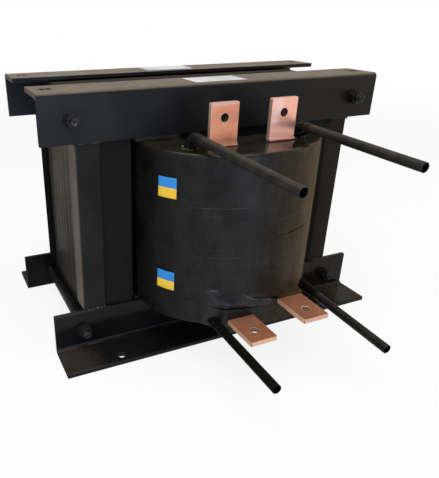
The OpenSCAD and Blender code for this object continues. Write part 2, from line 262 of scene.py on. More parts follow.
# The sides show their cut edges, but painted shade darkens them towards the bottom and towards the back.
side_edges_and_shade = core.facing("X", either=True) * (0.25 + core.along("Z").ramp(*SIDE_SHADE_HEIGHTS) * 0.75)
side_edges_and_shade = side_edges_and_shade * (1.0 - core.along("Y").ramp(*SIDE_SHADE_DEPTHS) * 0.85)
cut_edges = core.mixed(sheet_tone * (1.0 - stain * 0.5), EDGE_DARK, EDGE_OLIVE)
CORE_FINISH = core.surface(
    Base_Color=core.mixed(core.facing("Z") * 0.8 + side_edges_and_shade, VARNISH, cut_edges),
    Roughness=0.4 + stain * 0.12 + sheet_tone * 0.1,
    Specular_IOR_Level=0.02,
    Normal=core.bump(sheet_tone * 0.7 + core.noise(500.0) * 0.3, 0.00006),
)

stack = Growth("sheet_stack", Size="Vector", Centre="Vector", Groups="Int", Slip="Vector", Seed="Int")
depth = stack.part(stack["Size"], "Y")
pitch = depth / stack["Groups"]
line = stack.node("GeometryNodeMeshLine", {}, {
    "Count": stack["Groups"], "Start Location": stack.joined(Y=(pitch - depth) * 0.5),
    "Offset": stack.joined(Y=pitch)})
group = stack.node("GeometryNodeMeshCube", {}, {
    "Size": stack.vector("MULTIPLY", stack["Size"], stack.joined(X=1.0, Y=pitch / depth, Z=1.0))})
slipped = stack.node("GeometryNodeTranslateInstances", {}, {
    "Instances": stack.repeated(line, group),
    "Translation": stack.drawn(stack.vector("SCALE", stack["Slip"], Scale=-1.0), stack["Slip"],
                               stack["Seed"])})
stack.end(stack.node("GeometryNodeTransform", {}, {0: slipped, "Translation": stack["Centre"]}))

for seed, node in enumerate(["core_limb_left", "core_limb_middle", "core_limb_right",
                             "core_yoke_bottom", "core_yoke_top"]):
    low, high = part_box(node)
    slip = Vector((SHEET_SLIP, 0, SHEET_SLIP if "yoke" in node else 0))
    fit(stack.grown(node + "_sheets", Size=high - low - 2 * slip, Centre=(low + high) / 2,
                    Groups=round((high.y - low.y) / SHEETS_LEVEL), Slip=slip, Seed=seed,
                    Material=CORE_FINISH), "core_enamel", node)

# ---------------------------------------------------------------------------------------
# Core supports and clamping angles. Rolled steel angles, sawn to length, drilled for the
# tie rods, the floor bolts and small fittings on top, then sprayed black. The coat shines,
# thins over the sharp edges and has fine orange peel.

ENAMEL = (0.0075, 0.0074, 0.0082)
# Painted light at the ends of a coat: bluish light at the left, warm light at the right.
ENAMEL_END_LIGHT = (0.0100, 0.0112, 0.0146), (0.0078, 0.0061, 0.0038)
FOOT_END_LIGHT = (0.0078, 0.0076, 0.0076), (0.0088, 0.0072, 0.0048)
THIN_ENAMEL = (0.017, 0.016, 0.015)
SAWN_ENAMEL = (0.020, 0.0195, 0.0185)
SAWN_PALE = (0.135, 0.115, 0.088)
PALE_LINE = 0.012, 0.007  # how far below the flange's top the sawn ends begin to turn paler, and are fully pale
# A painted reflection of the lower left nut in the glossy top of the front foot.
NUT_REFLECTION_RED = (0.034, 0.019, 0.015)
NUT_REFLECTION_SPOT = (-0.268, -0.172, 0.008), (0.009, 0.012, 0.02)
GRIME = (0.024, 0.019, 0.009)
GRIME_REACH = (0.0100, 0.0160, 0.02)
# Pale tan on faces that look up: dust, and also painted light from above.
SHELF_DUST_AND_LIGHT = (0.345, 0.28, 0.19)
FULL_COAT = 1.25  # share of its colour that a coat has where no drift darkens it
LEFT_BLEND = -0.27, -0.03  # where the painted light at the left end changes to the middle's colour
RIGHT_BLEND = 0.04, 0.27
CHIPPED_BLEND = 0.0, 0.2  # chips grow fewer to the right of the middle
# Width over which the painted shade near a foot's middle gives way to its tan.
SHADED_MIDDLE_BLEND = 0.06
SAWN_EDGE = 0.0009  # radius of the edges
FLANGE_HOLE_REACH = 0.0055
SHARP_EDGE = 38  # degrees past which an edge is rounded
FLAT_EDGE = 0.6  # degrees under which two facets are one face
SEAM = 2e-6  # distance under which two corners are one


def times(colour, share, added=0.0):
    return tuple(part * share + added for part in colour)


def enamel(name, colour, roughness, specular=0.0, dust_and_light=0.0, runs=(1.0, 1.0, 0.12), ends=None,
           flank=None, clear=0.0, chips_and_glints=None, stains_and_reflections=()):
    """A sprayed coat: its colour drifts, it has runs and orange peel, and fine dirt settles on top,
    its pale tan there also painted light from above.

    Ends are its colours at the object's left and right, painted light and shade; flank is that of
    the faces which look there, painted side light; worn spots take a bright colour that also paints
    glints on them. Nearer the middle than clear no tan or top light is painted, leaving painted shade.
    Soft marks, of real grime and of painted reflection, are each given by their middle and reach,
    their colour and how strong they are.
    """
    coat = Finish(name)
    across = coat.along("X")
    drift = coat.noise(8.0, 4.0).ramp(0.32, 0.68)
    run = coat.noise(42.0, 3.0, runs).ramp(0.3, 0.7)
    peel = coat.noise(620.0, 2.0)
    # Dust on faces that look up; its tan is also painted light from above.
    settled_and_lit = coat.facing("Z") * (0.75 + coat.noise(22.0, 5.0).ramp(0.3, 0.75) * 0.25) * dust_and_light
    # Near the middle no tan is painted, as painted shade and the winding's dark reflection.
    if clear:
        settled_and_lit = settled_and_lit * abs(across).ramp(clear, clear + SHADED_MIDDLE_BLEND)
    tone = times(colour, FULL_COAT)
    # The ends' colours are painted light and shade.
    if ends:
        tone = coat.mixed(across.ramp(*LEFT_BLEND), times(ends[0], FULL_COAT), tone)
        tone = coat.mixed(across.ramp(*RIGHT_BLEND), tone, times(ends[1], FULL_COAT))
    tone = coat.mixed(drift * 0.4, tone, (0.0, 0.0, 0.0))
    # Small worn spots, painted bright enough to be glints too.
    if chips_and_glints:
        flecks = coat.noise(420.0, 2.0).ramp(0.56, 0.66)
        tone = coat.mixed(flecks * (1.0 - across.ramp(*CHIPPED_BLEND) * 0.6), tone, chips_and_glints)
    # Faces that look left or right are painted paler, as side light.
    if flank:
        tone = coat.mixed(coat.facing("X", either=True), tone, flank)
    tone = coat.mixed(settled_and_lit, tone, SHELF_DUST_AND_LIGHT)
    # Soft marks: real grime round the holes, and a painted reflection.
    for middle, reach, tint, strength in stains_and_reflections:
        tone = coat.mixed(coat.spot(middle, reach) * strength, tone, tint)
    return coat.surface(
        Base_Color=tone,
        Roughness=roughness - 0.05 + run * 0.08 + drift * 0.04 + settled_and_lit * 0.35,
        Specular_IOR_Level=specular,
        Normal=coat.bump(peel, 0.00003, coat.bump(run, 0.0002)),
    )


def eased(node, radius, *finishes, holes=()):
    """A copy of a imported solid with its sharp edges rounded, except round small upright holes.

    The last finish is that of the rounded edges.
    """
    mesh = solids[node].data.copy()
    mesh.name = node + "_eased"
    mesh.attributes.remove(mesh.attributes["custom_normal"])
    shape = bmesh.new()
    shape.from_mesh(mesh)
    bmesh.ops.remove_doubles(shape, verts=shape.verts, dist=SEAM)
    bmesh.ops.dissolve_limit(shape, angle_limit=math.radians(FLAT_EDGE), verts=shape.verts,
                             edges=shape.edges)
    weight = shape.edges.layers.float.new("bevel_weight_edge")
    for edge in shape.edges:
        edge.smooth = True
        middle = (edge.verts[0].co + edge.verts[1].co) / 2
        edge[weight] = float(edge.calc_face_angle(0.0) > math.radians(SHARP_EDGE) and all(
            math.dist(middle.xy, hole) > FLANGE_HOLE_REACH for hole in holes))
    shape.to_mesh(mesh)
    shape.free()
    smoothed(mesh)
    mesh.materials.clear()
    clothed(mesh, *finishes)
    piece = placed(mesh.name, mesh)
    bevel = piece.modifiers.new("edges", "BEVEL")
    bevel.width, bevel.segments = radius, 2
    bevel.limit_method = "WEIGHT"
    bevel.harden_normals = True
    bevel.material = len(finishes) - 1
    return piece


flange_holes = []
for bolts in ("top_bolts_outer", "top_bolts_inner"):
    spacing = mounts[bolts]["dims"]
    flange_holes += [(x * spacing["spacing_x_mm"] / 2000, y * spacing["spacing_y_mm"] / 2000)
                     for x in (-1, 1) for y in (-1, 1)]
flange_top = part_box("upper_clamp_front")[1].z
# Sawn ends are paler near the flange's top and towards the back.
sawn = Finish("sawn_end_enamel")
SAWN_FINISH = sawn.surface(
    Base_Color=sawn.mixed(sawn.along("Z").ramp(*(flange_top - drop for drop in PALE_LINE)),
                          sawn.mixed(sawn.along("Y").ramp(0.0, 0.02), SAWN_ENAMEL, times(SAWN_PALE, 0.6)),
                          SAWN_PALE),
    Roughness=0.5, Specular_IOR_Level=0.0, Normal=sawn.bump(sawn.noise(600.0, 2.0), 0.00005))
# Painted shade: the walls of the flange holes are painted darker than the coat.
HOLE_SHADE_FINISH = enamel("drilled_hole_enamel", times(THIN_ENAMEL, 0.3), roughness=0.6)
EDGE_FINISH = enamel("edge_enamel_coat", THIN_ENAMEL, roughness=0.35, specular=0.12, dust_and_light=0.2)
SUPPORT_FINISH = enamel("support_enamel_coat", ENAMEL, roughness=0.5, specular=0.02)
CLAMP_FINISHES = {
    "upper_clamp_front": enamel(
        "clamp_enamel_coat", ENAMEL, roughness=0.36, specular=0.14, dust_and_light=0.42, ends=ENAMEL_END_LIGHT,
        stains_and_reflections=[((*hole, flange_top), GRIME_REACH, GRIME, 1.0) for hole in flange_holes]),
    "upper_clamp_rear": enamel(
        "rear_clamp_enamel_coat", ENAMEL, roughness=0.36, specular=0.14, dust_and_light=0.42,
        ends=(times(ENAMEL_END_LIGHT[0], 1.9), ENAMEL_END_LIGHT[1]),
        stains_and_reflections=[((*hole, flange_top), GRIME_REACH, GRIME, 0.6) for hole in flange_holes]),
    # The front foot is left painted dark near its middle, as shade under the winding.
    "lower_clamp_front": enamel(
        "front_foot_enamel_coat", ENAMEL, roughness=0.16, specular=0.12, dust_and_light=0.08, ends=FOOT_END_LIGHT,
        clear=0.24, stains_and_reflections=[(*NUT_REFLECTION_SPOT, NUT_REFLECTION_RED, 0.7)]),
    # The rear foot's coat is a darker copy, as painted shade.
    "lower_clamp_rear": enamel(
        "rear_foot_enamel_coat", times(ENAMEL, 0.8), roughness=0.25, specular=0.05, dust_and_light=0.01,
        ends=FOOT_END_LIGHT),
}
for node, finish in CLAMP_FINISHES.items():
    holes = flange_holes if "upper" in node else ()
    piece = eased(node, SAWN_EDGE, finish, SAWN_FINISH, HOLE_SHADE_FINISH, EDGE_FINISH, holes=holes)
    for face in piece.data.polygons:
        if abs(face.normal.x) > 0.95 and abs(face.center.x) > 0.99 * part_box(node)[1].x:
            face.material_index = 1
        elif abs(face.normal.z) < 0.3 and any(
                math.dist(face.center.xy, hole) < FLANGE_HOLE_REACH for hole in holes):
            face.material_index = 2
    fit(piece, "clamp_enamel", node)
for node in ("core_support_left", "core_support_right"):
    fit(eased(node, SAWN_EDGE, SUPPORT_FINISH), "post_enamel", node)

# ---------------------------------------------------------------------------------------
# Corner posts. Light angles over the corners of the outer limbs, tacked to the clamps with
# a short run of weld at each end and painted with them, in a browner, flatter black.

POST_BLACK = (0.0100, 0.0098, 0.0092)
# Painted light at the posts' left and right: paler at the left, warm at the right.
POST_END_LIGHT = (0.0165, 0.0163, 0.0154), (0.0100, 0.0078, 0.0050)
# Painted side light: faces that look left or right are painted tan, as lit.
POST_SIDE_LIGHT = (0.066, 0.053, 0.042)
POST_EDGE = 0.0007
BEAD_RADIUS = 0.0033
BEAD_PITCH = 0.0042
BEAD_PROUD = 0.0006  # how far the middle of a bead stands off the post's face
BEAD_TURN = 0.5  # most that a ripple is turned, in radians
BEAD_SHARES = (0.75, 0.4, 0.35), (1.35, 0.95, 1.0)  # smallest and largest ripple, of the bead's radius
WELD_GREY = (0.022, 0.021, 0.021)
# Worn metal on the weld, painted bright as glints too.
WELD_CHIPS_AND_GLINTS = (0.16, 0.155, 0.15)
WELD_REACH = {"foot": (0.25, 0.94), "head": (-0.02, 0.96)}  # part of the post's width
WELD_RISE = {"foot": 0.0004, "head": -0.0008}  # how far it is above the post's end

FRONT_POST_FINISH = enamel("front_post_enamel_coat", POST_BLACK, roughness=0.45, specular=0.07,
                           dust_and_light=0.2, ends=POST_END_LIGHT, flank=POST_SIDE_LIGHT)
# The rear posts take a darker copy of the post coat, as painted shade.
SHADED_REAR_POST_FINISH = enamel("rear_post_enamel_coat", times(POST_BLACK, 0.8), roughness=0.5)
POST_EDGE_FINISH = enamel("post_edge_enamel", THIN_ENAMEL, roughness=0.4, specular=0.04, dust_and_light=0.1)
WELD_FINISH = enamel("weld_enamel_coat", WELD_GREY, roughness=0.35, specular=0.15, chips_and_glints=WELD_CHIPS_AND_GLINTS)

weld = Growth("weld_run", Start="Vector", Finish="Vector", Pitch="Float", Radius="Float", Seed="Int")
seam = weld.node("GeometryNodeResampleCurve", {"mode": "LENGTH"}, {
    "Curve": weld.node("GeometryNodeCurvePrimitiveLine", {}, {"Start": weld["Start"], "End": weld["Finish"]}),
    "Length": weld["Pitch"]})
ripple = weld.node("GeometryNodeMeshUVSphere", {}, {"Segments": 12, "Rings": 8, "Radius": weld["Radius"]})
weld.end(weld.repeated(seam, ripple,
                       Rotation=weld.drawn((-BEAD_TURN,) * 3, (BEAD_TURN,) * 3, weld["Seed"]),
                       Scale=weld.drawn(*BEAD_SHARES, weld["Seed"] + 7)))

for seed, side in enumerate(("front_left", "front_right", "rear_left", "rear_right")):
    node = "corner_post_" + side
    low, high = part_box(node)
    in_front = "front" in side
    coats = (FRONT_POST_FINISH, POST_EDGE_FINISH) if in_front else (SHADED_REAR_POST_FINISH,)
    fit(eased(node, POST_EDGE, *coats), "post_enamel", node)
    face_y = low.y - BEAD_PROUD if in_front else high.y + BEAD_PROUD
    for end, end_level in (("foot", low.z), ("head", high.z)):
        first, last = ((low.x + (high.x - low.x) * share, face_y, end_level + WELD_RISE[end])
                       for share in WELD_REACH[end])
        bead = weld.grown("post_weld_%s_%s" % (end, side), Start=first, Finish=last, Pitch=BEAD_PITCH,
                          Radius=BEAD_RADIUS, Seed=seed * 2 + (end == "head"), Material=WELD_FINISH)
        smoothed(bead.data, 70)
        fit(bead, "post_enamel")

# ---------------------------------------------------------------------------------------
# Tie rods. Four round steel rods pull the front and rear clamps together over the core.
# Each has a rolled thread, a flat washer and a hexagon nut at both ends, painted in place.

ROD_RADIUS = 0.007
THREAD_PITCH = 0.002
THREAD_DEPTH = 0.0011
THREAD_LENGTH = 0.033
THREAD_START = 0.0012  # how far the first turn lies behind the rod's end
THREAD_RUNOUT = 0.002
ROD_CHAMFER = 0.0014, 0.0012  # length and depth
STUD_END_LENGTH = 0.01  # the end faces lie further out than this along the thread
NUT_FLATS = 0.022
NUT_HEIGHT = 0.011
NUT_CROWN = 0.95  # part of the width over its flats that stays level
NUT_SLOPE = 30  # degrees
NUT_MOUTH = 0.0009  # chamfer of its bore
NUT_CORNER = 0.0002  # how much its corners are rubbed down
WASHER_RADIUS = 0.0135
WASHER_HEIGHT = 0.003
WASHER_EDGE = 0.0005
FIXING_TILT = 0.012  # most that a nut or washer leans on its rod, in radians
ROD_BLACK = (0.0100, 0.0100, 0.0112)
CREST_GREY = (0.022, 0.022, 0.022)
STUD_END = (0.018, 0.018, 0.018)
# Worn steel on threads and stud ends, painted bright as glints too.
WORN_STEEL_AND_GLINTS = (0.15, 0.145, 0.14)
# Painted light and shade on the rods, nuts and washers: bluish at the left, darker at the right.
ROD_END_LIGHT = (0.0110, 0.0110, 0.0122), (0.0050, 0.0045, 0.0040)

ROD_FINISH = enamel("rod_enamel_coat", ROD_BLACK, roughness=0.34, specular=0.15, dust_and_light=0.03,
                    runs=(1.0, 0.1, 1.0), ends=ROD_END_LIGHT)
THREAD_FINISH = enamel("thread_enamel_worn", CREST_GREY, roughness=0.25, specular=0.25, ends=ROD_END_LIGHT,
                       chips_and_glints=WORN_STEEL_AND_GLINTS)
STUD_FINISH = enamel("stud_end_worn", STUD_END, roughness=0.35, specular=0.15, ends=ROD_END_LIGHT,
                     chips_and_glints=WORN_STEEL_AND_GLINTS)


def round_about(count):
    """Angles evenly round a full turn."""
    return np.linspace(0, math.tau, count, endpoint=False)


def circle(radius, count, x=0.0, y=0.0):
    return [(x + radius * math.cos(turn), y + radius * math.sin(turn)) for turn in round_about(count)]


def lofted(name, rows, closed=False):
    """A mesh through rows of points, each row a closed loop; the ends are filled or joined."""
    shape = bmesh.new()
    loops = [[shape.verts.new(point) for point in row] for row in rows]
    pairs = list(zip(loops, loops[1:]))
    if closed:
        pairs.append((loops[-1], loops[0]))
    for lower, upper in pairs:
        for i in range(len(lower)):
            j = (i + 1) % len(lower)
            shape.faces.new((lower[i], lower[j], upper[j], upper[i]))
    if not closed:
        shape.faces.new(list(reversed(loops[0])))
        shape.faces.new(loops[-1])
    bmesh.ops.recalc_face_normals(shape, faces=shape.faces)
    mesh = bpy.data.meshes.new(name)
    shape.to_mesh(mesh)
    shape.free()
    return mesh


def turned(name, profile, centre, around=28, closed=False):
    """A mesh turned about an axis along Y through centre, from (distance along Y, radius)."""
    rows = [[(x, centre.y + along, z) for x, z in circle(radius, around, centre.x, centre.z)]
            for along, radius in profile]
    return lofted(name, rows, closed)


def hexagon_nut(flats, height, bore, around=72):
    """A nut along Y, both of its faces chamfered, so that each flat ends in a shallow arc."""
    half, crown, mouth = flats / 2, flats / 2 * NUT_CROWN, bore + NUT_MOUTH
    rows = [[] for _ in range(8)]
    for turn in round_about(around):
        from_flat = (turn + math.pi / 6) % (math.pi / 3) - math.pi / 6
        out = half / math.cos(from_flat) - NUT_CORNER * abs(math.sin(3 * turn)) ** 12
        shoulder = height / 2 - max(0.0, out - crown) * math.tan(math.radians(NUT_SLOPE))
        half_section = [(bore, height / 2 - NUT_MOUTH), (mouth, height / 2), (crown, height / 2),
                        (out, shoulder)]
        section = [(radius, -along) for radius, along in half_section] + half_section[::-1]
        for row, (radius, along) in zip(rows, section):
            row.append((radius * math.cos(turn), along, radius * math.sin(turn)))
    return lofted("nut", rows, closed=True)


def flat_washer(outer, height, bore):
    half, edge = height / 2, WASHER_EDGE
    section = [(-half, bore), (-half, outer - edge), (-half + edge, outer),
               (half - edge, outer), (half, outer - edge), (half, bore)]
    return turned("washer", section, Vector((0, 0, 0)), 40, closed=True)


fixing = Growth("fixing_at_each_rod_end", Part="Object", Seed="Int")
part = fixing.node("GeometryNodeObjectInfo", {}, {"Object": fixing["Part"]}, output="Geometry")
fixing.end(fixing.repeated(fixing["Geometry"], part, Rotation=fixing.drawn(
    (-FIXING_TILT, -3.14, -FIXING_TILT), (FIXING_TILT, 3.14, FIXING_TILT), fixing["Seed"])))

thread = Growth("rolled_thread", Start="Vector", Pitch="Float", Length="Float", Radius="Float",
                Depth="Float")
helix = thread.node("GeometryNodeCurveSpiral", {}, {
    "Resolution": 24, "Rotations": thread["Length"] / thread["Pitch"],
    "Start Radius": thread["Radius"] - thread["Depth"],
    "End Radius": thread["Radius"] - thread["Depth"], "Height": thread["Length"]})
ridge = thread.node("GeometryNodeCurvePrimitiveCircle", {}, {"Resolution": 4, "Radius": thread["Depth"]})
thread.end(thread.node("GeometryNodeTransform", {}, {
    0: thread.node("GeometryNodeCurveToMesh", {}, {"Curve": helix, "Profile Curve": ridge,
                                                   "Fill Caps": True}),
    "Translation": thread["Start"], "Rotation": (-math.pi / 2, 0, 0)}))

clamp_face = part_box("upper_clamp_rear")[1].y
nut_places, washer_places = [], []
for side in ("lower_left", "lower_right", "upper_left", "upper_right"):
    node = "tie_rod_" + side
    low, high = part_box(node)
    middle = (low + high) / 2
    shank = high.y - middle.y
    root = ROD_RADIUS - THREAD_DEPTH
    plain = shank - THREAD_LENGTH
    half_profile = [(0.0, ROD_RADIUS), (plain, ROD_RADIUS), (plain + THREAD_RUNOUT, root),
                    (shank - ROD_CHAMFER[0], root), (shank, root - ROD_CHAMFER[1])]
    profile = [(-along, radius) for along, radius in reversed(half_profile[1:])] + half_profile
    rod = placed(node + "_shank", turned(node, profile, middle))
    clothed(rod.data, ROD_FINISH, STUD_FINISH)
    for face in rod.data.polygons:
        face.material_index = int(abs(face.normal.y) > 0.5
                                  and abs(face.center.y - middle.y) > plain + STUD_END_LENGTH)
    smoothed(rod.data)
    fit(rod, "fastener", node)
    for end, start in (("front", low.y + THREAD_START), ("rear", high.y - THREAD_LENGTH)):
        fit(thread.grown("%s_thread_%s" % (node, end), Start=(middle.x, start, middle.z),
                         Pitch=THREAD_PITCH, Length=THREAD_LENGTH - THREAD_START, Radius=ROD_RADIUS,
                         Depth=THREAD_DEPTH, Material=THREAD_FINISH), "fastener")
    for way in (-1, 1):
        washer_places.append((middle.x, way * (clamp_face + WASHER_HEIGHT / 2), middle.z))
        nut_places.append((middle.x, way * (clamp_face + WASHER_HEIGHT + NUT_HEIGHT / 2), middle.z))

for name, seed, part_mesh, places in (
        ("tie_nuts", 4, hexagon_nut(NUT_FLATS, NUT_HEIGHT, ROD_RADIUS - THREAD_DEPTH), nut_places),
        ("tie_washers", 5, flat_washer(WASHER_RADIUS, WASHER_HEIGHT, ROD_RADIUS), washer_places)):
    pattern = placed(name + "_pattern", part_mesh)
    points = bpy.data.meshes.new(name + "_places")
    points.from_pydata(places, [], [])
    piece = fixing.grown(name + "_fitted", points, Part=pattern, Seed=seed, Material=ROD_FINISH)
    smoothed(piece.data)
    bpy.data.objects.remove(pattern)
    fit(piece, "fastener", name)

# ---------------------------------------------------------------------------------------
# Winding. One coil of insulated copper round the middle limb, bound with half-lapped tape
# and soaked in black resin. The laps show as level lines. At the foot of the front a taped
# block with a flat face holds the lower leads, under the rolled hem of the main tape.

FLANK_SHOULDER = 0.147  # distance of the corner arcs' centres behind the middle
CORNER_RADIUS = 0.115
COIL_BUILD = 0.1155  # depth of the coil in front of its opening
OPENING_FIT = 0.0005
TAPE_WIDTH = 0.029
TAPE_LAP = 0.0142
TAPE_LEAN = 0.0006
TAPE_TILT = 0.0035  # most that one turn of tape is out of level, in radians
RIPPLE = 0.0011  # how far the tape swells out of line
LEAD_BAND = 0.030
BODY_INSET = 0.0024
RIM_RADIUS = 0.0065
RIM_MARGIN = 0.012  # the wall is straight from here to its rims
RESIN_SAG = 0.0009
BLOCK_DROP = 0.010  # how far the lead block hangs below the coil
BLOCK_DEPTH = 0.044
BLOCK_COVER = 0.0012  # how far its front stands back from the roots of the bars
BLOCK_SIDES = 0.050, 0.007  # how far it runs past the left and the right bar
BLOCK_BLEND = 0.055  # width over which its front comes out of the wall at the left
BLOCK_START = 0.004  # how far inside the wall it starts there
BLOCK_CORNER = 0.006
BLOCK_ROUND = 0.0035
BLOCK_CREST = (-0.080, -0.020, 0.028, 0.095), (0.136, 0.127, 0.119, 0.1215)  # X, height of its top
SILL_BLEND = -0.092, -0.070  # between these its underside comes down
SILL_LIFT = 0.003  # from this far above the coil's
HEM_END = 0.048  # the hem lies on the block up to here in X
# The hem along the front: X, the size there, and the size behind. The sizes are the height of its
# middle, how far it reaches down and up from there, and how far it stands out.
HEM_LEVEL = ((-0.160, -0.110, -0.080, -0.043, -0.010, 0.030, 0.045),
             (0.1124, 0.1320, 0.1320, 0.1255, 0.1200, 0.1140, 0.1124), 0.1124)
HEM_FALL = ((-0.130, -0.090, -0.010, 0.035, 0.045),
            (0.0022, 0.0070, 0.0074, 0.0045, 0.0026), 0.0026)
HEM_CLIMB = ((-0.130, -0.090, -0.040, -0.015, 0.035, 0.045),
             (0.0022, 0.0190, 0.0170, 0.0075, 0.0045, 0.0026), 0.0026)
HEM_PROUD = (-0.125, -0.090, 0.010, 0.040), (0.0006, 0.0032, 0.0026, 0.0), 0.0016
HEM_LIFT = 0.0003  # how far its middle lies over the body's surface
RESIN_BLACK = (0.0028, 0.0028, 0.0027)
RESIN_GREY = (0.0115, 0.0112, 0.0112)
# Painted bluish sheen, left of the winding's middle.
RESIN_SHEEN_BLUE = (0.0135, 0.0140, 0.0178)
# Painted warm light: the winding's right is olive, as if lit warm from the right.
RESIN_RIGHT_LIGHT = (0.093, 0.064, 0.025)
RESIN_TINT = (1.0, 0.95, 0.86)
FOLD_BLUE = (0.036, 0.035, 0.042)
TAPE_BROWN = (0.024, 0.020, 0.014)
LAP_HIGHLIGHT_GREY = (0.066, 0.062, 0.060)
# Painted bluish sheen on the hem.
HEM_SHEEN_GREY = (0.020, 0.0195, 0.0235)
POOL_OLIVE = (0.0120, 0.0112, 0.0066)
LAP_HIGHLIGHTS = (  # middle and reach of each stretch of lap edge painted with a pale highlight line, and how clearly
    ((-0.079, -0.266, 0.2946), (0.060, 0.060, 0.008), 1.0),
    ((-0.087, -0.262, 0.2804), (0.026, 0.050, 0.007), 0.5),
    ((-0.083, -0.262, 0.2236), (0.034, 0.050, 0.009), 0.35),
    ((-0.073, -0.265, 0.2094), (0.052, 0.060, 0.007), 0.5),
    ((0.055, -0.270, 0.2662), (0.065, 0.060, 0.009), 1.0),
    ((0.085, -0.262, 0.2950), (0.060, 0.060, 0.009), 0.8),
    ((0.070, -0.262, 0.1810), (0.060, 0.060, 0.010), 0.9),
)
# A painted dark line of shade under one stretch of lap edge.
LAP_SHADE_LINE = (0.065, -0.270, 0.2378), (0.060, 0.060, 0.009)
HEM_SHADES = (  # start and end in X, height at the start, rise along X, and width of each dark line
    (-0.100, 0.005, 0.1240, -0.130, 0.0022),
    (-0.035, 0.050, 0.1330, -0.215, 0.0018),
)
FOLD_SHEEN = (-0.045, -0.285, 0.125), (0.060, 0.060, 0.018)

coil_low, coil_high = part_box("winding")
bar_low, bar_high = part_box("terminal_lower_left")[0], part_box("terminal_lower_right")[1]
top, bottom = coil_high.z, coil_low.z + BLOCK_DROP


def coil_arcs():
    """Centre, radius, and first and last angle of each arc round the coil, anticlockwise."""
    half, reach = coil_high.x, coil_high.y
    side = half - CORNER_RADIUS
    room = reach - CORNER_RADIUS
    front = (room ** 2 - side ** 2 - FLANK_SHOULDER ** 2) / (2 * (room - FLANK_SHOULDER))
    meet = math.degrees(math.atan2(FLANK_SHOULDER - front, side))
    arcs = [(side, FLANK_SHOULDER, CORNER_RADIUS, 0, meet),
            (0.0, front, reach - front, meet, 180 - meet),
            (-side, FLANK_SHOULDER, CORNER_RADIUS, 180 - meet, 180)]
    return arcs + [(-x, -y, radius, start + 180, end + 180) for x, y, radius, start, end in arcs]


def coil_outline(step=0.0065):
    """Points round the coil and the outward direction at each."""
    places, ways = [], []
    arcs = coil_arcs()
    for (x, y, radius, start, end), following in zip(arcs, arcs[1:] + arcs[:1]):
        pieces = max(2, round(radius * math.radians(end - start) / step))
        for turn in np.radians(np.linspace(start, end, pieces, endpoint=False)):
            way = np.array((math.cos(turn), math.sin(turn)))
            places.append(np.array((x, y)) + radius * way)
            ways.append(way)
        if end % 180 == 0:
            way = np.array((math.cos(math.radians(end)), math.sin(math.radians(end))))
            last = np.array((x, y)) + radius * way
            first = np.array(following[:2]) + following[2] * way
            for share in np.linspace(0, 1, round(np.linalg.norm(first - last) / (2 * step)),
                                     endpoint=False):
                places.append(last + share * (first - last))
                ways.append(way)
    return np.array(places), np.array(ways)


def coil_rows(section, line):
    """Loops beside a line, from (distance inward, height) pairs; both may differ at each point."""
    return [[(*point, float(up)) for point, up in zip(line[0] - line[1] * np.reshape(inward, (-1, 1)),
                                                      np.broadcast_to(level, len(line[0])))]
            for inward, level in section]


def rounded(radius, steps):
    """(Distance inward, distance from the end) round an edge, from its end to its side."""
    return [(radius * (1 - math.sin(turn)), radius * (1 - math.cos(turn)))
            for turn in np.linspace(0, math.pi / 2, steps)]


resin = Finish("winding_resin_coat")
cloud = resin.noise(9.0, 4.0).ramp(0.34, 0.66)
upright = resin.noise(26.0, 3.0, (1.0, 1.0, 0.15)).ramp(0.3, 0.7)
band = resin.noise(1.0, 2.0, (3.0, 3.0, 95.0), 0.6).ramp(0.36, 0.64)
weave = resin.noise(900.0, 2.0)
mottle = resin.noise(34.0, 5.0, (1.0, 1.0, 0.4), 0.7).ramp(0.32, 0.68)
across, height = resin.along("X"), resin.along("Z")
lap_edge = resin.node("ShaderNodeAttribute", {"attribute_name": "lap_edge"}, output="Fac")
# A painted bluish sheen left of the middle, stronger higher up, with more coat there too.
sheen_left = across.ramp(-0.155, -0.085) * (1.0 - across.ramp(-0.04, 0.05)) * (0.5 + cloud * 0.5)
# The far left of the wall is painted darker, as a dark reflection.
left_shade = resin.mixed((across + cloud * 0.06).ramp(-0.165, -0.09), RESIN_BLACK, RESIN_GREY)
bluish = resin.mixed(sheen_left * (0.35 + height.ramp(0.22, 0.36) * 0.65), left_shade, RESIN_SHEEN_BLUE)
taped = resin.mixed(band * 0.16, bluish, TAPE_BROWN)
# Towards the right the wall is painted olive, as warm light.
right_light = across.ramp(-0.03, 0.145) * (0.72 + band * 0.1 + upright * 0.18)
warm_lit = resin.mixed(right_light, taped, RESIN_RIGHT_LIGHT)
folded = resin.mixed(resin.spot(*FOLD_SHEEN) * (0.45 + cloud * 0.55), warm_lit, FOLD_BLUE)
highlit = 0.0
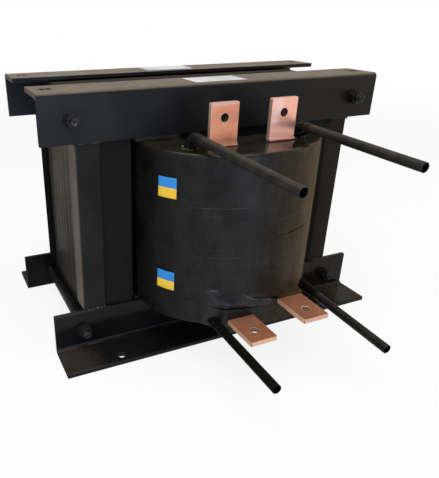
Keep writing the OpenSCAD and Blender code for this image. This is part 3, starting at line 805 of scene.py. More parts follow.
# Pale highlight lines painted along some lap edges.
for middle, reach, clearness in LAP_HIGHLIGHTS:
    highlit = resin.spot(middle, reach) * clearness + highlit
lined = resin.mixed(lap_edge * highlit * (0.5 + cloud * 0.5), folded, LAP_HIGHLIGHT_GREY)
shade = lap_edge * resin.spot(*LAP_SHADE_LINE)
for start, end, level, rise, width in HEM_SHADES:
    off = height - (across - start) * rise - level
    stretch = across.ramp(start, start + 0.02) * (1.0 - across.ramp(end - 0.02, end))
    shade = (1.0 - abs(off).ramp(width * 0.4, width)) * stretch * 0.85 + shade
sheen = (0.08 + across.ramp(-0.168, -0.12) * 0.08 + sheen_left * 0.3) * (1.3 - mottle * 0.6)
WALL_FINISH = resin.surface(
    Base_Color=resin.mixed(mottle * 0.22 + shade, lined, times(RESIN_BLACK, 0.3)),
    Roughness=0.55 + upright * 0.1, Specular_IOR_Level=0.0,
    Coat_Weight=sheen * (1.0 - shade) * (1.0 - across.ramp(0.0, 0.13) * 0.25),
    Coat_Roughness=0.32, Coat_Tint=RESIN_TINT,
    Normal=resin.bump(weave, 0.00004, resin.bump(upright * 0.7 + band * 0.15, 0.0005)),
)

hem = Finish("winding_hem_coat")
hem_cloud = hem.noise(30.0, 4.0, (1.0, 1.0, 2.0)).ramp(0.3, 0.7)
hem_across = hem.along("X")
# A painted bluish sheen on the hem left of the middle, and painted warm light towards its right.
pale = hem_across.ramp(-0.135, -0.085) * (1.0 - hem_across.ramp(0.0, 0.06)) * (0.35 + hem_cloud * 0.65)
hem_tone = hem.mixed(hem_across.ramp(0.03, 0.12), RESIN_GREY, times(RESIN_RIGHT_LIGHT, 0.5))
HEM_FINISH = hem.surface(
    Base_Color=hem.mixed(pale, hem_tone, HEM_SHEEN_GREY),
    Roughness=0.5, Specular_IOR_Level=0.0, Coat_Weight=pale * 0.35 + 0.1, Coat_Roughness=0.28,
    Normal=hem.bump(hem.noise(700.0, 2.0), 0.00005, hem.bump(hem_cloud, 0.0012)),
)

pool = Finish("winding_resin_pool")
pool_cloud = pool.noise(14.0, 4.0, (1.0, 2.5, 1.0)).ramp(0.3, 0.7)
POOL_FINISH = pool.surface(
    Base_Color=pool.mixed(pool_cloud, times(POOL_OLIVE, 0.6), times(POOL_OLIVE, 1.4)),
    Roughness=0.25 + pool_cloud * 0.1, Specular_IOR_Level=0.05,
    Coat_Weight=0.5 + pool_cloud * 0.25, Coat_Roughness=0.09,
    Normal=pool.bump(pool.noise(30.0, 2.0), 0.0003),
)

laps = Growth("half_lapped_tape", Turns="Int", Pitch="Float", Tilt="Float", Ripple="Float", Seed="Int")
climb = laps.node("GeometryNodeMeshLine", {}, {
    "Count": laps["Turns"], "Offset": laps.joined(Z=laps["Pitch"])})
tilt = laps.joined(X=laps["Tilt"], Y=laps["Tilt"])
loose = laps.node("GeometryNodeRealizeInstances", {}, {0: laps.repeated(
    climb, laps["Geometry"],
    Rotation=laps.drawn(laps.vector("SCALE", tilt, Scale=-1.0), tilt, laps["Seed"]))})
place = laps.node("GeometryNodeInputPosition")
swell = laps.node("ShaderNodeTexNoise", {}, {"Vector": place, "Scale": 11.0, "Detail": 2.0})
fold = laps.node("ShaderNodeTexNoise", {}, {
    "Vector": laps.vector("MULTIPLY", place, (1.0, 1.0, 0.2)), "Scale": 34.0, "Detail": 1.0})
slack = laps.node("ShaderNodeTexNoise", {}, {"Vector": place, "Scale": 6.0, "Detail": 2.0})
outward = laps.vector("NORMALIZE", laps.vector("MULTIPLY", place, (1.0, 1.0, 0.0)))
push = laps.vector("SCALE", outward, Scale=(swell + fold * 0.45 - 0.9) * laps["Ripple"])
lift = laps.joined(Z=(slack - 0.5) * laps["Ripple"] * 4.0)
laps.end(laps.node("GeometryNodeSetPosition", {}, {
    "Geometry": loose, "Offset": laps.vector("ADD", push, lift)}))


def wound(name, mesh, seed, finish, degrees, turns=1, tilt=0.0, ripple=RIPPLE, replaced=()):
    """Puts one layer of the winding in place, from the mesh of one turn of it."""
    piece = laps.grown(name, mesh, Turns=turns, Pitch=TAPE_LAP, Tilt=tilt, Ripple=ripple, Seed=seed,
                       Material=finish)
    smoothed(piece.data, degrees)
    fit(piece, "winding_resin", *replaced)
    return piece


girth, outs = coil_outline()
rim = [(BODY_INSET + inward, drop) for inward, drop in rounded(RIM_RADIUS, 6)]
wall = [(inward, top - drop) for inward, drop in rim]
wall += [(BODY_INSET, level) for level in np.linspace(top - RIM_MARGIN, bottom + RIM_MARGIN, 30)]
wall += [(inward, bottom + drop) for inward, drop in reversed(rim)]
wall_rows = coil_rows(wall, (girth, outs))
opening = Vector((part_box("core_limb_middle")[1].x + OPENING_FIT, coil_high.y - COIL_BUILD))


def opening_point(point, share):
    """A point part of the way from the coil's opening to a point of its rim."""
    shrink = min(opening.x / max(abs(point[0]), 1e-6), opening.y / max(abs(point[1]), 1e-6))
    return [point[i] * (shrink + (1 - shrink) * share) for i in (0, 1)]


def coil_end(rim_row, shares, sag):
    """Loops across an end face of the coil, the resin a little low between the walls."""
    return [[(*opening_point(point, share), point[2] - sag * math.sin(math.pi * share))
             for point in rim_row] for share in shares]


shares = np.linspace(0.93, 0.0, 7)
rows = coil_end(wall_rows[-1], reversed(shares), 0.0) + wall_rows[::-1]
rows += coil_end(wall_rows[0], shares, RESIN_SAG)
body = wound("winding_body", lofted("winding_body", rows, closed=True), 1, WALL_FINISH, 50,
             replaced=("winding",))
clothed(body.data, POOL_FINISH)
for face in body.data.polygons:
    face.material_index = int(face.normal.z > 0.85 and face.center.z > top - RIM_RADIUS)

ribbon = (  # distance inward and height round one turn of tape, and 1 where it is a visible edge
    (BODY_INSET + 0.0004, 0.0, 0.6), (BODY_INSET - TAPE_LEAN, 0.0, 1.0),
    (BODY_INSET - TAPE_LEAN + 0.0001, 0.0008, 1.0), (BODY_INSET - TAPE_LEAN + 0.0002, 0.0017, 0.0),
    (BODY_INSET - 0.00005, TAPE_WIDTH, 0.0), (BODY_INSET + 0.0004, TAPE_WIDTH, 0.0))
first_lap = bottom + LEAD_BAND
lap_count = int((top - RIM_RADIUS - TAPE_WIDTH - first_lap) / TAPE_LAP) + 1
tape = lofted("winding_tape", coil_rows([(inward, first_lap + up) for inward, up, _ in ribbon],
                                        (girth, outs)), closed=True)
edges = tape.attributes.new("lap_edge", "FLOAT", "POINT")
edges.data.foreach_set("value", np.repeat([edge for _, _, edge in ribbon], len(girth)))
wound("winding_tape", tape, 12, WALL_FINISH, 30, turns=lap_count, tilt=TAPE_TILT)

block_face = bar_high.y + BLOCK_COVER
block_left, block_right = bar_low.x - BLOCK_SIDES[0], bar_high.x + BLOCK_SIDES[1]
front_line = np.array(sorted(tuple(point) for point in girth if point[1] < 0))


def block_front(x):
    """How far forward the block's front is; it comes gently out of the wall at the left."""
    share = np.clip((x - block_left) / BLOCK_BLEND, 0, 1)
    share = share * share * (3 - 2 * share)
    return (np.interp(x, *front_line.T) + BLOCK_START) * (1 - share) + block_face * share


block_x = np.linspace(block_left, block_right - BLOCK_CORNER, 44)
slope = np.gradient(block_front(block_x), block_x)
corner = [(math.cos(turn), math.sin(turn)) for turn in np.radians(np.linspace(270, 360, 8))[1:]]
block_line = np.array([*zip(block_x, block_front(block_x))] + [
    (block_right + BLOCK_CORNER * (x - 1), block_face + BLOCK_CORNER * (y + 1)) for x, y in corner]
    + [(block_right, block_face + BLOCK_DEPTH)])
block_outs = np.array([*zip(slope / np.hypot(slope, 1), -1 / np.hypot(slope, 1))] + corner + [(1.0, 0.0)])
crest = np.interp(block_line[:, 0], *BLOCK_CREST)
sill = np.interp(block_line[:, 0], SILL_BLEND, (bottom + SILL_LIFT, coil_low.z))
edge = rounded(BLOCK_ROUND, 5)
section = [(inward, sill + up) for inward, up in edge]
section += [(0.0, sill + BLOCK_ROUND + share * (crest - sill - 2 * BLOCK_ROUND))
            for share in np.linspace(0, 1, 9)[1:-1]]
section += [(inward, crest - down) for inward, down in reversed(edge)]
back = [(min(x, block_right - BLOCK_CORNER), block_face + BLOCK_DEPTH) for x in block_line[:, 0]]
rows = coil_rows(section, (block_line, block_outs))
rows = [[(*point, up) for point, up in zip(back, sill)], *rows,
        [(*point, up) for point, up in zip(back, crest)]]
wound("winding_lead_block", lofted("winding_lead_block", rows), 5, WALL_FINISH, 50, ripple=RIPPLE * 0.7)

girth_x, in_front = girth[:, 0], girth[:, 1] < 0
over = block_front(girth_x) - BODY_INSET
on_block = in_front & (girth_x > block_left) & (girth_x < HEM_END) & (over < girth[:, 1])
girdle, girdle_outs = girth.copy(), outs.copy()
girdle[on_block, 1] = over[on_block]
girdle_outs[on_block] = 0.0, -1.0
hem_level, hem_fall, hem_climb, hem_proud = (
    np.where(in_front, np.interp(girth_x, x, size), behind)
    for x, size, behind in (HEM_LEVEL, HEM_FALL, HEM_CLIMB, HEM_PROUD))
rows = []
for turn in round_about(20):
    on_wall = max(0.0, math.sin(turn))  # the hem's top lies on the wall, its bottom on the block
    hem_outs = girdle_outs * (1 - on_wall) + outs * on_wall
    hem_outs /= np.linalg.norm(hem_outs, axis=1)[:, None]
    level = hem_level + (hem_climb if on_wall else hem_fall) * math.sin(turn)
    rows += coil_rows([(BODY_INSET - HEM_LIFT - hem_proud * math.cos(turn), level)],
                      (girdle * (1 - on_wall) + girth * on_wall, hem_outs))
wound("winding_hem", lofted("winding_hem", rows, closed=True), 3, HEM_FINISH, 60)

# ---------------------------------------------------------------------------------------
# Packing boards. Strips of varnished pressboard wedge the winding between the yokes. Their
# layers show on the cut edges as fine level lines.

BOARD_BROWN = (0.022, 0.018, 0.014)
BOARD_DARK = (0.012, 0.0105, 0.0095)
BOARD_LAYERS = (6.0, 6.0, 2600.0)
BOARD_EDGE = 0.0005

board = Finish("packing_board")
board_tone = board.noise(60.0, 5.0).ramp(0.3, 0.7)
BOARD_FINISH = board.surface(
    Base_Color=board.mixed(board_tone, BOARD_DARK, BOARD_BROWN), Roughness=0.5 + board_tone * 0.2,
    Specular_IOR_Level=0.3, Normal=board.bump(board.noise(1.0, 3.0, BOARD_LAYERS), 0.0001))
for node in ("packing_bottom_left", "packing_bottom_right", "packing_top_left", "packing_top_right"):
    fit(eased(node, BOARD_EDGE, BOARD_FINISH), "board", node)

# ---------------------------------------------------------------------------------------
# Test marks. Two blank stickers of glossy film on the front left of the winding, blue above
# and yellow below, pressed down over the tape.

MARK_WIDTH = 0.0345
MARK_HEIGHT = 0.034
MARK_MIDDLES = {"winding_mark_upper": 0.323, "winding_mark_lower": 0.157}
MARK_TURN = 212.3  # direction in which the stickers face, in degrees from +X
MARK_LIFT = -0.0004  # how far their front stands out from the solid winding's face
MARK_FILM = 0.0006
MARK_CELLS = 12
MARK_BLUE = (0.012, 0.26, 0.72)
MARK_YELLOW = (0.95, 0.60, 0.035)


def film(name, colour):
    print_coat = Finish(name)
    rub = print_coat.noise(180.0, 4.0).ramp(0.35, 0.7)
    return print_coat.surface(
        Base_Color=print_coat.mixed(rub * 0.3, colour, times(colour, 0.7, 0.05)),
        Roughness=0.3 + rub * 0.2, Specular_IOR_Level=0.4,
        Normal=print_coat.bump(print_coat.noise(70.0, 2.0), 0.0003))


MARK_FINISHES = film("mark_blue_film", MARK_BLUE), film("mark_yellow_film", MARK_YELLOW)
corner_x, corner_y, corner_radius = coil_arcs()[3][:3]
mark_radius = corner_radius + MARK_LIFT
mark_turns = np.radians(MARK_TURN) + np.linspace(-0.5, 0.5, MARK_CELLS + 1) * MARK_WIDTH / corner_radius
for name, middle in MARK_MIDDLES.items():
    shape = bmesh.new()
    grid = [[shape.verts.new((corner_x + mark_radius * math.cos(turn),
                              corner_y + mark_radius * math.sin(turn), level)) for turn in mark_turns]
            for level in middle + np.linspace(-0.5, 0.5, MARK_CELLS + 1) * MARK_HEIGHT]
    for row in range(MARK_CELLS):
        for i in range(MARK_CELLS):
            face = shape.faces.new((grid[row][i], grid[row][i + 1], grid[row + 1][i + 1], grid[row + 1][i]))
            face.material_index = 0 if row >= MARK_CELLS // 2 else 1
            face.smooth = True
    mesh = bpy.data.meshes.new(name)
    shape.to_mesh(mesh)
    shape.free()
    clothed(mesh, *MARK_FINISHES)
    mark = placed(name, mesh)
    wall = mark.modifiers.new("film", "SOLIDIFY")
    wall.thickness, wall.offset = MARK_FILM, -1.0
    fit(mark, "label")

# ---------------------------------------------------------------------------------------
# Terminals. Flat bars of bare copper, brushed along their length, brought out of the winding
# and drilled for a cable lug. The upper pair stands up and turns out at its foot.

COPPER_PINK = (0.95, 0.50, 0.395)
COPPER_ROSE = (0.76, 0.35, 0.215)
COPPER_BROWN = (0.50, 0.205, 0.105)
COPPER_DARK = (0.35, 0.130, 0.058)
COPPER_PALE = (0.76, 0.50, 0.43)
# Painted shade in the bolt holes: dark brown in the upper bars, less dark in the lower.
BORE_SHADE_BROWN = (0.070, 0.038, 0.014)
BORE_SHADE_TAN = (0.20, 0.125, 0.085)
EDGE_TAN = (0.80, 0.48, 0.33)
BAR_EDGE = 0.0008
BAR_SIDE = 0.0002  # faces this near to a bar's sides have the colour of its cut edges
BORE_REACH = 0.009  # and faces this near to a bolt hole's axis that of its wall
BRUSHED = (2200.0, 90.0, 90.0)
EVEN = (300.0, 300.0, 300.0)
STREAKS = (12.0, 1.0, 70.0)
BAR_FACES = {  # paler and darker colour, roughness, metallic, and the patches of painted glint and reflection
    "upper_left": ((0.72, 0.31, 0.18), (0.62, 0.22, 0.11), 0.26, 0.9, (
        ((-0.060, -0.216, 0.449), (0.040, 0.02, 0.008), (0.70, 0.42, 0.37)),
        ((-0.058, -0.216, 0.428), (0.045, 0.02, 0.014), (0.62, 0.27, 0.19)),
        ((-0.056, -0.216, 0.388), (0.045, 0.02, 0.010), (0.46, 0.20, 0.13)))),
    "upper_right": (COPPER_PINK, (0.93, 0.46, 0.31), 0.26, 0.9, (
        ((0.040, -0.216, 0.440), (0.020, 0.02, 0.026), (0.97, 0.66, 0.60)),
        ((0.038, -0.216, 0.418), (0.012, 0.02, 0.022), (0.97, 0.66, 0.60)),
        ((0.056, -0.216, 0.405), (0.045, 0.02, 0.009), (0.66, 0.36, 0.33)))),
    "lower_left": (times(COPPER_BROWN, 0.92), times(COPPER_DARK, 0.9), 0.38, 0.5, (
        ((-0.035, -0.305, 0.099), (0.018, 0.02, 0.02), (0.40, 0.20, 0.15)),)),
    "lower_right": (times(COPPER_BROWN, 0.87), times(COPPER_DARK, 0.87), 0.36, 0.5),
}


def bare_copper(name, brushed, pale, tanned, roughness, metallic, painted_glints=()):
    """Each patch of painted glint and reflection is given by its middle and reach, and its colour."""
    metal = Finish(name)
    tarnish = metal.noise(1.0, 4.0, (22.0, 40.0, 40.0)).ramp(0.35, 0.68)
    lines = metal.noise(1.0, 2.0, brushed, 0.7)
    prints = metal.noise(90.0, 3.0).ramp(0.5, 0.72)
    streaks = metal.noise(1.0, 3.0, STREAKS, 0.6).ramp(0.35, 0.62)
    tone = metal.mixed(tarnish * 0.7, pale, tanned)
    # Painted glints and reflections on the bar.
    for middle, reach, colour in painted_glints:
        tone = metal.mixed(metal.spot(middle, reach) * (0.35 + streaks * 0.65), tone, colour)
    return metal.surface(
        Base_Color=tone, Metallic=metallic,
        Roughness=roughness + lines * 0.14 + prints * 0.1,
        Normal=metal.bump(lines, 0.00006, metal.bump(metal.noise(25.0, 2.0), 0.0012)))


CUT_COPPERS = {  # the finish of the bolt hole, painted dark as shade, and that of the cut edges
    "upper": (bare_copper("bolt_hole_copper", EVEN, BORE_SHADE_BROWN, times(BORE_SHADE_BROWN, 0.5),
                          roughness=0.5, metallic=0.3),
              bare_copper("bar_edge_copper", EVEN, COPPER_PALE, COPPER_ROSE,
                          roughness=0.4, metallic=0.7)),
    "lower": (bare_copper("lower_bolt_hole_copper", EVEN, BORE_SHADE_TAN, times(BORE_SHADE_TAN, 0.6),
                          roughness=0.5, metallic=0.3),
              bare_copper("lower_bar_edge_copper", EVEN, EDGE_TAN, times(EDGE_TAN, 0.85),
                          roughness=0.4, metallic=0.5)),
}
for side, tones in BAR_FACES.items():
    node = "terminal_" + side
    piece = eased(node, BAR_EDGE, bare_copper(side + "_copper", BRUSHED, *tones), *CUT_COPPERS[side[:5]])
    low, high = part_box(node)
    bore_way = Vector(mounts[node]["axis"])
    bore_centre = Vector(mounts[node]["pos_m"])
    for face in piece.data.polygons:
        out = face.center - bore_centre
        if (out - bore_way * (out @ bore_way)).length < BORE_REACH and abs(face.normal @ bore_way) < 0.1:
            face.material_index = 1
        elif min(face.center.x - low.x, high.x - face.center.x) < BAR_SIDE or (
                "lower" in side and face.normal.y < -0.9):
            face.material_index = 2
    fit(piece, "copper", node)

# ---------------------------------------------------------------------------------------
# Tubes. Four stiff sleeves of black varnished glass fibre carry thin leads out of the coil.
# The upper pair comes up through the resin and bends over; cotton tape binds each root.

TUBE_RADIUS = 0.0075
TUBE_LIP = 0.0007
TUBE_SINK = 0.002  # how far the upper tubes go down into the resin
TUBE_BACK = 0.0015  # how far the lower tubes' inner ends stay clear of their solids' ends
BEND_RADIUS = 0.020
MOUTH_LENGTH = 0.006  # the rings are even from the coil to here
MOUTH_CHAMFER = 0.0006, 0.0005  # depth and width of the bevel inside the open end
BORE_BACK = 0.001  # how far the bore ends short of its mount's depth
UPPER_WRAP = 0.036
WRAP_BACK = 0.012
WRAP_PITCH = 0.0105
WRAP_STEP = 0.0007  # how much thicker one turn's edge is
WRAP_FIT = 0.0005
WRAP_END = 0.0004
WRAP_LIFT = 0.0003
WRAP_PHASE = 0.3  # part of a turn from one tube's tape to the next
SLEEVE_BLACK = (0.0078, 0.0072, 0.0065)
# The paler sleeve colour is for scuffs, and on top for painted light from above.
SLEEVE_SCUFFED_AND_LIT = (0.041, 0.036, 0.027)
SLEEVE_GRAIN = 700.0
LOWER_SHADE_SHARES = {"lower_left": 0.15, "lower_right": 0.48}  # of the upper sleeves' colours, darker copies as painted shade
COTTON_BLACK = (0.0042, 0.0042, 0.0042)
COTTON_SCUFFED_AND_LIT = (0.013, 0.0125, 0.012)
COTTON_GRAIN = 900.0


def cloth_coat(name, dark, pale, grain, roughness, specular=0.2):
    coat = Finish(name)
    scuff = coat.noise(55.0, 4.0).ramp(0.35, 0.7)
    return coat.surface(
        # Scuffs take the paler colour, and so do the tops as painted light from above; the undersides stay
        # dark as shade.
        Base_Color=coat.mixed(scuff * 0.35 + coat.facing("Z") * 0.6, dark, pale),
        Roughness=roughness - scuff * 0.1, Specular_IOR_Level=specular,
        Normal=coat.bump(coat.noise(grain, 4.0), 0.00015))


SLEEVE_FINISH = cloth_coat("sleeve_varnish", SLEEVE_BLACK, SLEEVE_SCUFFED_AND_LIT, SLEEVE_GRAIN, roughness=0.55)
# Darker copies for the lower sleeves, as painted shade.
SHADED_LOWER_SLEEVE_FINISHES = {
    side: cloth_coat(side + "_sleeve_varnish", times(SLEEVE_BLACK, share), times(SLEEVE_SCUFFED_AND_LIT, share),
                     SLEEVE_GRAIN, roughness=0.55, specular=share * 0.3)
    for side, share in LOWER_SHADE_SHARES.items()}
# Painted shade inside each sleeve's open end.
SHADED_SLEEVE_MOUTH_FINISH = cloth_coat("sleeve_mouth", times(SLEEVE_BLACK, 0.3), times(SLEEVE_BLACK, 0.6),
                                 SLEEVE_GRAIN, roughness=0.6, specular=0.0)
TAPE_FINISH = cloth_coat("cotton_tape", COTTON_BLACK, COTTON_SCUFFED_AND_LIT, COTTON_GRAIN, roughness=0.5)
# A darker copy for the lower tape, as painted shade.
SHADED_LOWER_TAPE_FINISH = cloth_coat("lower_cotton_tape", times(COTTON_BLACK, 0.7), times(COTTON_SCUFFED_AND_LIT, 0.35),
                               COTTON_GRAIN, roughness=0.55, specular=0.04)


class Run:
    """The middle line of a lead, with directions across it carried along without twist."""

    def __init__(self, points):
        self.points = np.array(points)
        ahead = np.gradient(self.points, axis=0)
        self.ahead = ahead / np.linalg.norm(ahead, axis=1)[:, None]
        side = np.cross(self.ahead[0], (1.0, 0.0, 0.0))
        sides = []
        for way in self.ahead:
            side = side - way * (side @ way)
            side = side / np.linalg.norm(side)
            sides.append(side)
        self.side = np.array(sides)
        steps = np.linalg.norm(np.diff(self.points, axis=0), axis=1)
        self.reach = np.concatenate([[0.0], np.cumsum(steps)])
        self.length = self.reach[-1]

    def swept(self, name, rings, around=28, closed=False):
        """A mesh from rings of (distance along, radius, or a function of the angle round)."""
        rows = []
        for along, radius in rings:
            point, ahead, side = (
                np.array([np.interp(along, self.reach, values[:, i]) for i in range(3)])
                for values in (self.points, self.ahead, self.side))
            cross = np.cross(ahead, side)
            rows.append([tuple(point + (radius(turn) if callable(radius) else radius)
                               * (side * math.cos(turn) + cross * math.sin(turn)))
                         for turn in round_about(around)])
        return lofted(name, rows, closed)


def lead_run(mount, straight, root_level=None):
    """From the open end of a lead back to the coil: straight, then bent down to root_level."""
    end, out = np.array(mount["pos_m"]), np.array(mount["axis"])
    out = out / np.linalg.norm(out)
    points = [end - out * along for along in np.linspace(0, straight, 40)]
    if root_level is not None:
        up = np.array((0.0, 0.0, 1.0))
        inward = (up @ out) * out - up
        inward = inward / np.linalg.norm(inward)
        bend = math.acos(up @ out)
        centre = points[-1] + BEND_RADIUS * inward
        points += [centre - BEND_RADIUS * (inward * math.cos(turn) + out * math.sin(turn))
                   for turn in np.linspace(0, bend, 15)[1:]]
        points += [points[-1] - up * drop
                   for drop in np.linspace(0, points[-1][2] - root_level, 5)[1:]]
    return Run(points)


def lapped(along, phase):
    """Radius of tape that winds on in overlapping turns, against the angle round."""
    def radius(turn):
        lap = (along / WRAP_PITCH + turn / math.tau + phase) % 1.0
        return TUBE_RADIUS + WRAP_LIFT + WRAP_STEP * (1 - lap) ** 0.7
    return radius


for seed, side in enumerate(("upper_left", "upper_right", "lower_left", "lower_right")):
    node, wrap, upper = "tube_" + side, "tube_wrap_" + side, "upper" in side
    mount = mounts[node]
    bore, depth = mount["dims"]["r_mm"] / 1000, mount["dims"]["length_mm"] / 1000
    low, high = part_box(node)
    if upper:
        run = lead_run(mount, depth, coil_high.z - TUBE_SINK)
    else:
        run = lead_run(mount, (high.y - low.y) / abs(mount["axis"][1]) - TUBE_BACK)
    rings = [(along, TUBE_RADIUS) for along in np.linspace(run.length, MOUTH_LENGTH, 60)]
    rings += [(along, TUBE_RADIUS - inward) for along, inward in rounded(TUBE_LIP, 4)]
    rings += [(0.0, bore + MOUTH_CHAMFER[1]), (MOUTH_CHAMFER[0], bore), (depth - BORE_BACK, bore)]
    tube = placed(node + "_sleeve", run.swept(node + "_sleeve", rings))
    clothed(tube.data, SHADED_LOWER_SLEEVE_FINISHES.get(side, SLEEVE_FINISH), SHADED_SLEEVE_MOUTH_FINISH)
    faces_round = (len(tube.data.polygons) - 2) // (len(rings) - 1)
    for face in tube.data.polygons[faces_round * (len(rings) - 4):]:
        face.material_index = 1
    smoothed(tube.data, 50)
    fit(tube, "tube_sleeve", node)

    first = (run.length - UPPER_WRAP - WRAP_BACK) if upper else np.interp(
        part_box(wrap)[0].y, run.points[:, 1], run.reach)
    rings = [(along, lapped(along, WRAP_PHASE * seed)) for along in np.linspace(run.length, first, 64)]
    rings += [(first - WRAP_END, TUBE_RADIUS + WRAP_FIT), (first - WRAP_END, TUBE_RADIUS - WRAP_FIT),
              (run.length, TUBE_RADIUS - WRAP_FIT)]
    tape = placed(wrap + "_laps", run.swept(wrap + "_laps", rings, 40, closed=True))
    clothed(tape.data, TAPE_FINISH if upper else SHADED_LOWER_TAPE_FINISH)
    smoothed(tape.data, 35)
    fit(tape, "tube_tape", wrap)

# ---------------------------------------------------------------------------------------
# Resin crumbs. Where the upper leads leave the coil, the resin was poured round them and
# chipped clean, so that small glossy crumbs lie about each root.

CRUMB_SPREAD = 0.017
CRUMB_SIZE = 0.0021
CRUMB_SHARES = (0.35, 0.3, 0.25), (1.1, 0.8, 0.6)  # smallest and largest crumb, of that size
CRUMB_GREY = (0.12, 0.115, 0.11)
POOL_CRUMBS = 42000.0  # to the square metre of poured resin
POOL_SINK = 0.0006
POOL_BACK = 0.008  # its middle lies this far in front of the back of the lead's tape
TAPE_CRUMB_SHARE = 0.6  # of the size of the others
TAPE_CRUMBS = {"upper_left": 1500.0, "upper_right": 9000.0,
               "lower_left": 2500.0}  # crumbs to the square metre of tape

crumb_coat = Finish("resin_crumb")
CRUMB_FINISH = crumb_coat.surface(
    Base_Color=crumb_coat.mixed(crumb_coat.noise(300.0).ramp(0.4, 0.6), RESIN_GREY, CRUMB_GREY),
    Roughness=0.12, Specular_IOR_Level=0.8, Normal=crumb_coat.bump(crumb_coat.noise(800.0), 0.0004))

crumbs = Growth("resin_crumbs", Density="Float", Size="Float", Seed="Int")
spots = crumbs.node("GeometryNodeDistributePointsOnFaces", {}, {
    "Mesh": crumbs["Geometry"], "Density": crumbs["Density"], "Seed": crumbs["Seed"]})
crumb = crumbs.node("GeometryNodeMeshIcoSphere", {}, {"Radius": crumbs["Size"], "Subdivisions": 2})
crumbs.end(crumbs.repeated(spots, crumb,
                           Rotation=crumbs.drawn((-3.0,) * 3, (3.0,) * 3, crumbs["Seed"]),
                           Scale=crumbs.drawn(*CRUMB_SHARES, crumbs["Seed"] + 3)))
for seed, side in enumerate(("left", "right")):
    low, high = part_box("tube_wrap_upper_" + side)
    about = circle(CRUMB_SPREAD, 24, (low.x + high.x) / 2, high.y - POOL_BACK)
    poured = bpy.data.meshes.new("resin_pool_" + side)
    poured.from_pydata([(*point, coil_high.z - POOL_SINK) for point in about], [], [list(range(24))])
    fit(crumbs.grown("resin_crumbs_" + side, poured, Density=POOL_CRUMBS, Size=CRUMB_SIZE,
                     Seed=seed + 2, Material=CRUMB_FINISH), "winding_resin")
for seed, (side, density) in enumerate(TAPE_CRUMBS.items()):
    bound = bpy.data.objects["tube_wrap_%s_laps" % side].data.copy()
    fit(crumbs.grown("tape_crumbs_" + side, bound, Density=density, Size=CRUMB_SIZE * TAPE_CRUMB_SHARE,
                     Seed=seed + 20, Material=CRUMB_FINISH), "winding_resin")

# ---------------------------------------------------------------------------------------
# Rating labels. Thin plates of pale foil stuck to the tops of the upper clamps, left blank.
# The foil is rolled, so it glints in soft bands.

FOIL = (0.46, 0.50, 0.52)
FOIL_GLINT = (0.62, 0.64, 0.66)
FOIL_EDGE = 0.00025

foil = Finish("label_foil")
glint = foil.noise(17.0, 3.0, (1.0, 0.4, 1.0)).ramp(0.38, 0.6)
FOIL_FINISH = foil.surface(
    Base_Color=foil.mixed(glint, FOIL, FOIL_GLINT), Metallic=0.1, Roughness=0.42 + glint * 0.1,
    Normal=foil.bump(foil.noise(120.0, 2.0), 0.0002))
for node in ("rating_label_front", "rating_label_rear"):
    fit(eased(node, FOIL_EDGE, FOIL_FINISH), "label", node)

# ---------------------------------------------------------------------------------------
# Room. A pale seamless floor that turns up far behind, an even pale sky, and four softboxes:
# one from the front, one from above and one from either side.

FLOOR_PALE = (0.86, 0.86, 0.86)
FLOOR_HALF = 40.0
FLOOR_RISE = 12.0
FLOOR_FLARE = 1.02  # how much wider it is at the top of its rise
FLOOR_SIDES = 64
BACKGROUND_SHARE = 0.85  # how much of the floor's look is the white background, near the object
BACKGROUND_BLEND = 1.2, 4.0  # distances over which that share grows to the whole
SKY_BACK = (0.80, 0.74, 0.66)
SKY_FRONT = (0.60, 0.66, 0.76)
SKY_LEVEL = 0.62
SOFTBOX_AIM = Vector((0, 0, 0.2))
SOFTBOXES = (  # name, place, size, watts, colour
    ("softbox_front", (0.4, -3.4, 0.4), 1.0, 13.0, (0.58, 0.72, 1.0)),
    ("softbox_over", (-0.4, -0.5, 2.4), 2.0, 44.0, (1.0, 0.98, 0.95)),
    ("softbox_left", (-2.3, -1.8, 1.5), 1.5, 13.0, (0.84, 0.91, 1.0)),
    ("softbox_right", (2.5, -1.0, 1.2), 1.3, 16.0, (1.0, 0.84, 0.64)),
)
EYE_PLACE = (-0.4853, -0.8990, 0.5852)
EYE_DOWN = 24.79  # degrees below level
EYE_TURN = -23.27  # degrees from +Y, anticlockwise
EYE_LENS = 38.46
EYE_SHIFT = 0.1569, 0.0031

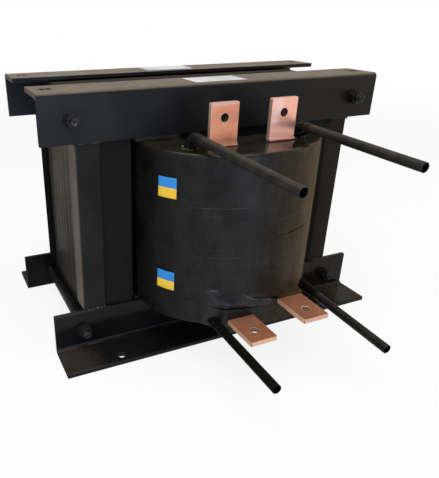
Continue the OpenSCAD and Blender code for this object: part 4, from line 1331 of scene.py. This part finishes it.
floor_coat = Finish("floor")
rays = [floor_coat.node("ShaderNodeLightPath", output=name)
        for name in ("Is Camera Ray", "Is Glossy Ray", "Is Transmission Ray")]
far = floor_coat.vector("LENGTH", floor_coat.place).ramp(*BACKGROUND_BLEND)
grain = floor_coat.noise(2.0, 3.0).ramp(0.3, 0.7)
lit = floor_coat.node("ShaderNodeBsdfDiffuse", {}, {
    "Color": floor_coat.mixed(grain, FLOOR_PALE, times(FLOOR_PALE, 0.98))})
white = floor_coat.node("ShaderNodeEmission", {}, {"Color": (1.0, 1.0, 1.0), "Strength": 1.0})
floor_coat.node("ShaderNodeOutputMaterial", {}, {
    "Surface": floor_coat.node("ShaderNodeMixShader", {}, {
        0: (rays[0] + rays[1] + rays[2]) * (BACKGROUND_SHARE + far * (1 - BACKGROUND_SHARE)),
        1: lit, 2: white})})
corners = [(0.0, 0.0, 0.0)] + [(*point, 0.0) for point in circle(FLOOR_HALF, FLOOR_SIDES)]
corners += [(*point, FLOOR_RISE) for point in circle(FLOOR_HALF * FLOOR_FLARE, FLOOR_SIDES)]
pairs = [(1 + i, 1 + (i + 1) % FLOOR_SIDES) for i in range(FLOOR_SIDES)]
floor_mesh = bpy.data.meshes.new("floor")
floor_mesh.from_pydata(corners, [], [(0, i, j) for i, j in pairs] + [
    (i, i + FLOOR_SIDES, j + FLOOR_SIDES, j) for i, j in pairs])
floor_mesh.materials.append(floor_coat.material)
placed("floor", floor_mesh)

world = bpy.data.worlds.new("room")
bpy.context.scene.world = world
world.use_nodes = True
world.node_tree.nodes.clear()
sky = Board(world.node_tree)
back = sky.part(sky.node("ShaderNodeTexCoord", output="Generated"), "Y").ramp(-0.7, 0.7)
sky.node("ShaderNodeOutputWorld", {}, {
    "Surface": sky.node("ShaderNodeBackground", {}, {
        "Color": sky.mixed(back, SKY_FRONT, SKY_BACK), "Strength": SKY_LEVEL})})

for name, place, size, watts, colour in SOFTBOXES:
    lamp = bpy.data.lights.new(name, "AREA")
    lamp.shape, lamp.size, lamp.energy, lamp.color = "SQUARE", size, watts, colour
    softbox = placed(name, lamp)
    softbox.location = place
    softbox.rotation_euler = (SOFTBOX_AIM - Vector(place)).to_track_quat("-Z", "Y").to_euler()

camera = bpy.data.cameras.new("camera")
camera.sensor_width, camera.lens = 36.0, EYE_LENS
camera.shift_x, camera.shift_y = EYE_SHIFT
eye = placed("camera", camera)
eye.location = EYE_PLACE
eye.rotation_euler = (math.radians(90 - EYE_DOWN), 0.0, math.radians(EYE_TURN))
bpy.context.scene.camera = eye
bpy.context.scene.view_settings.view_transform = "Standard"
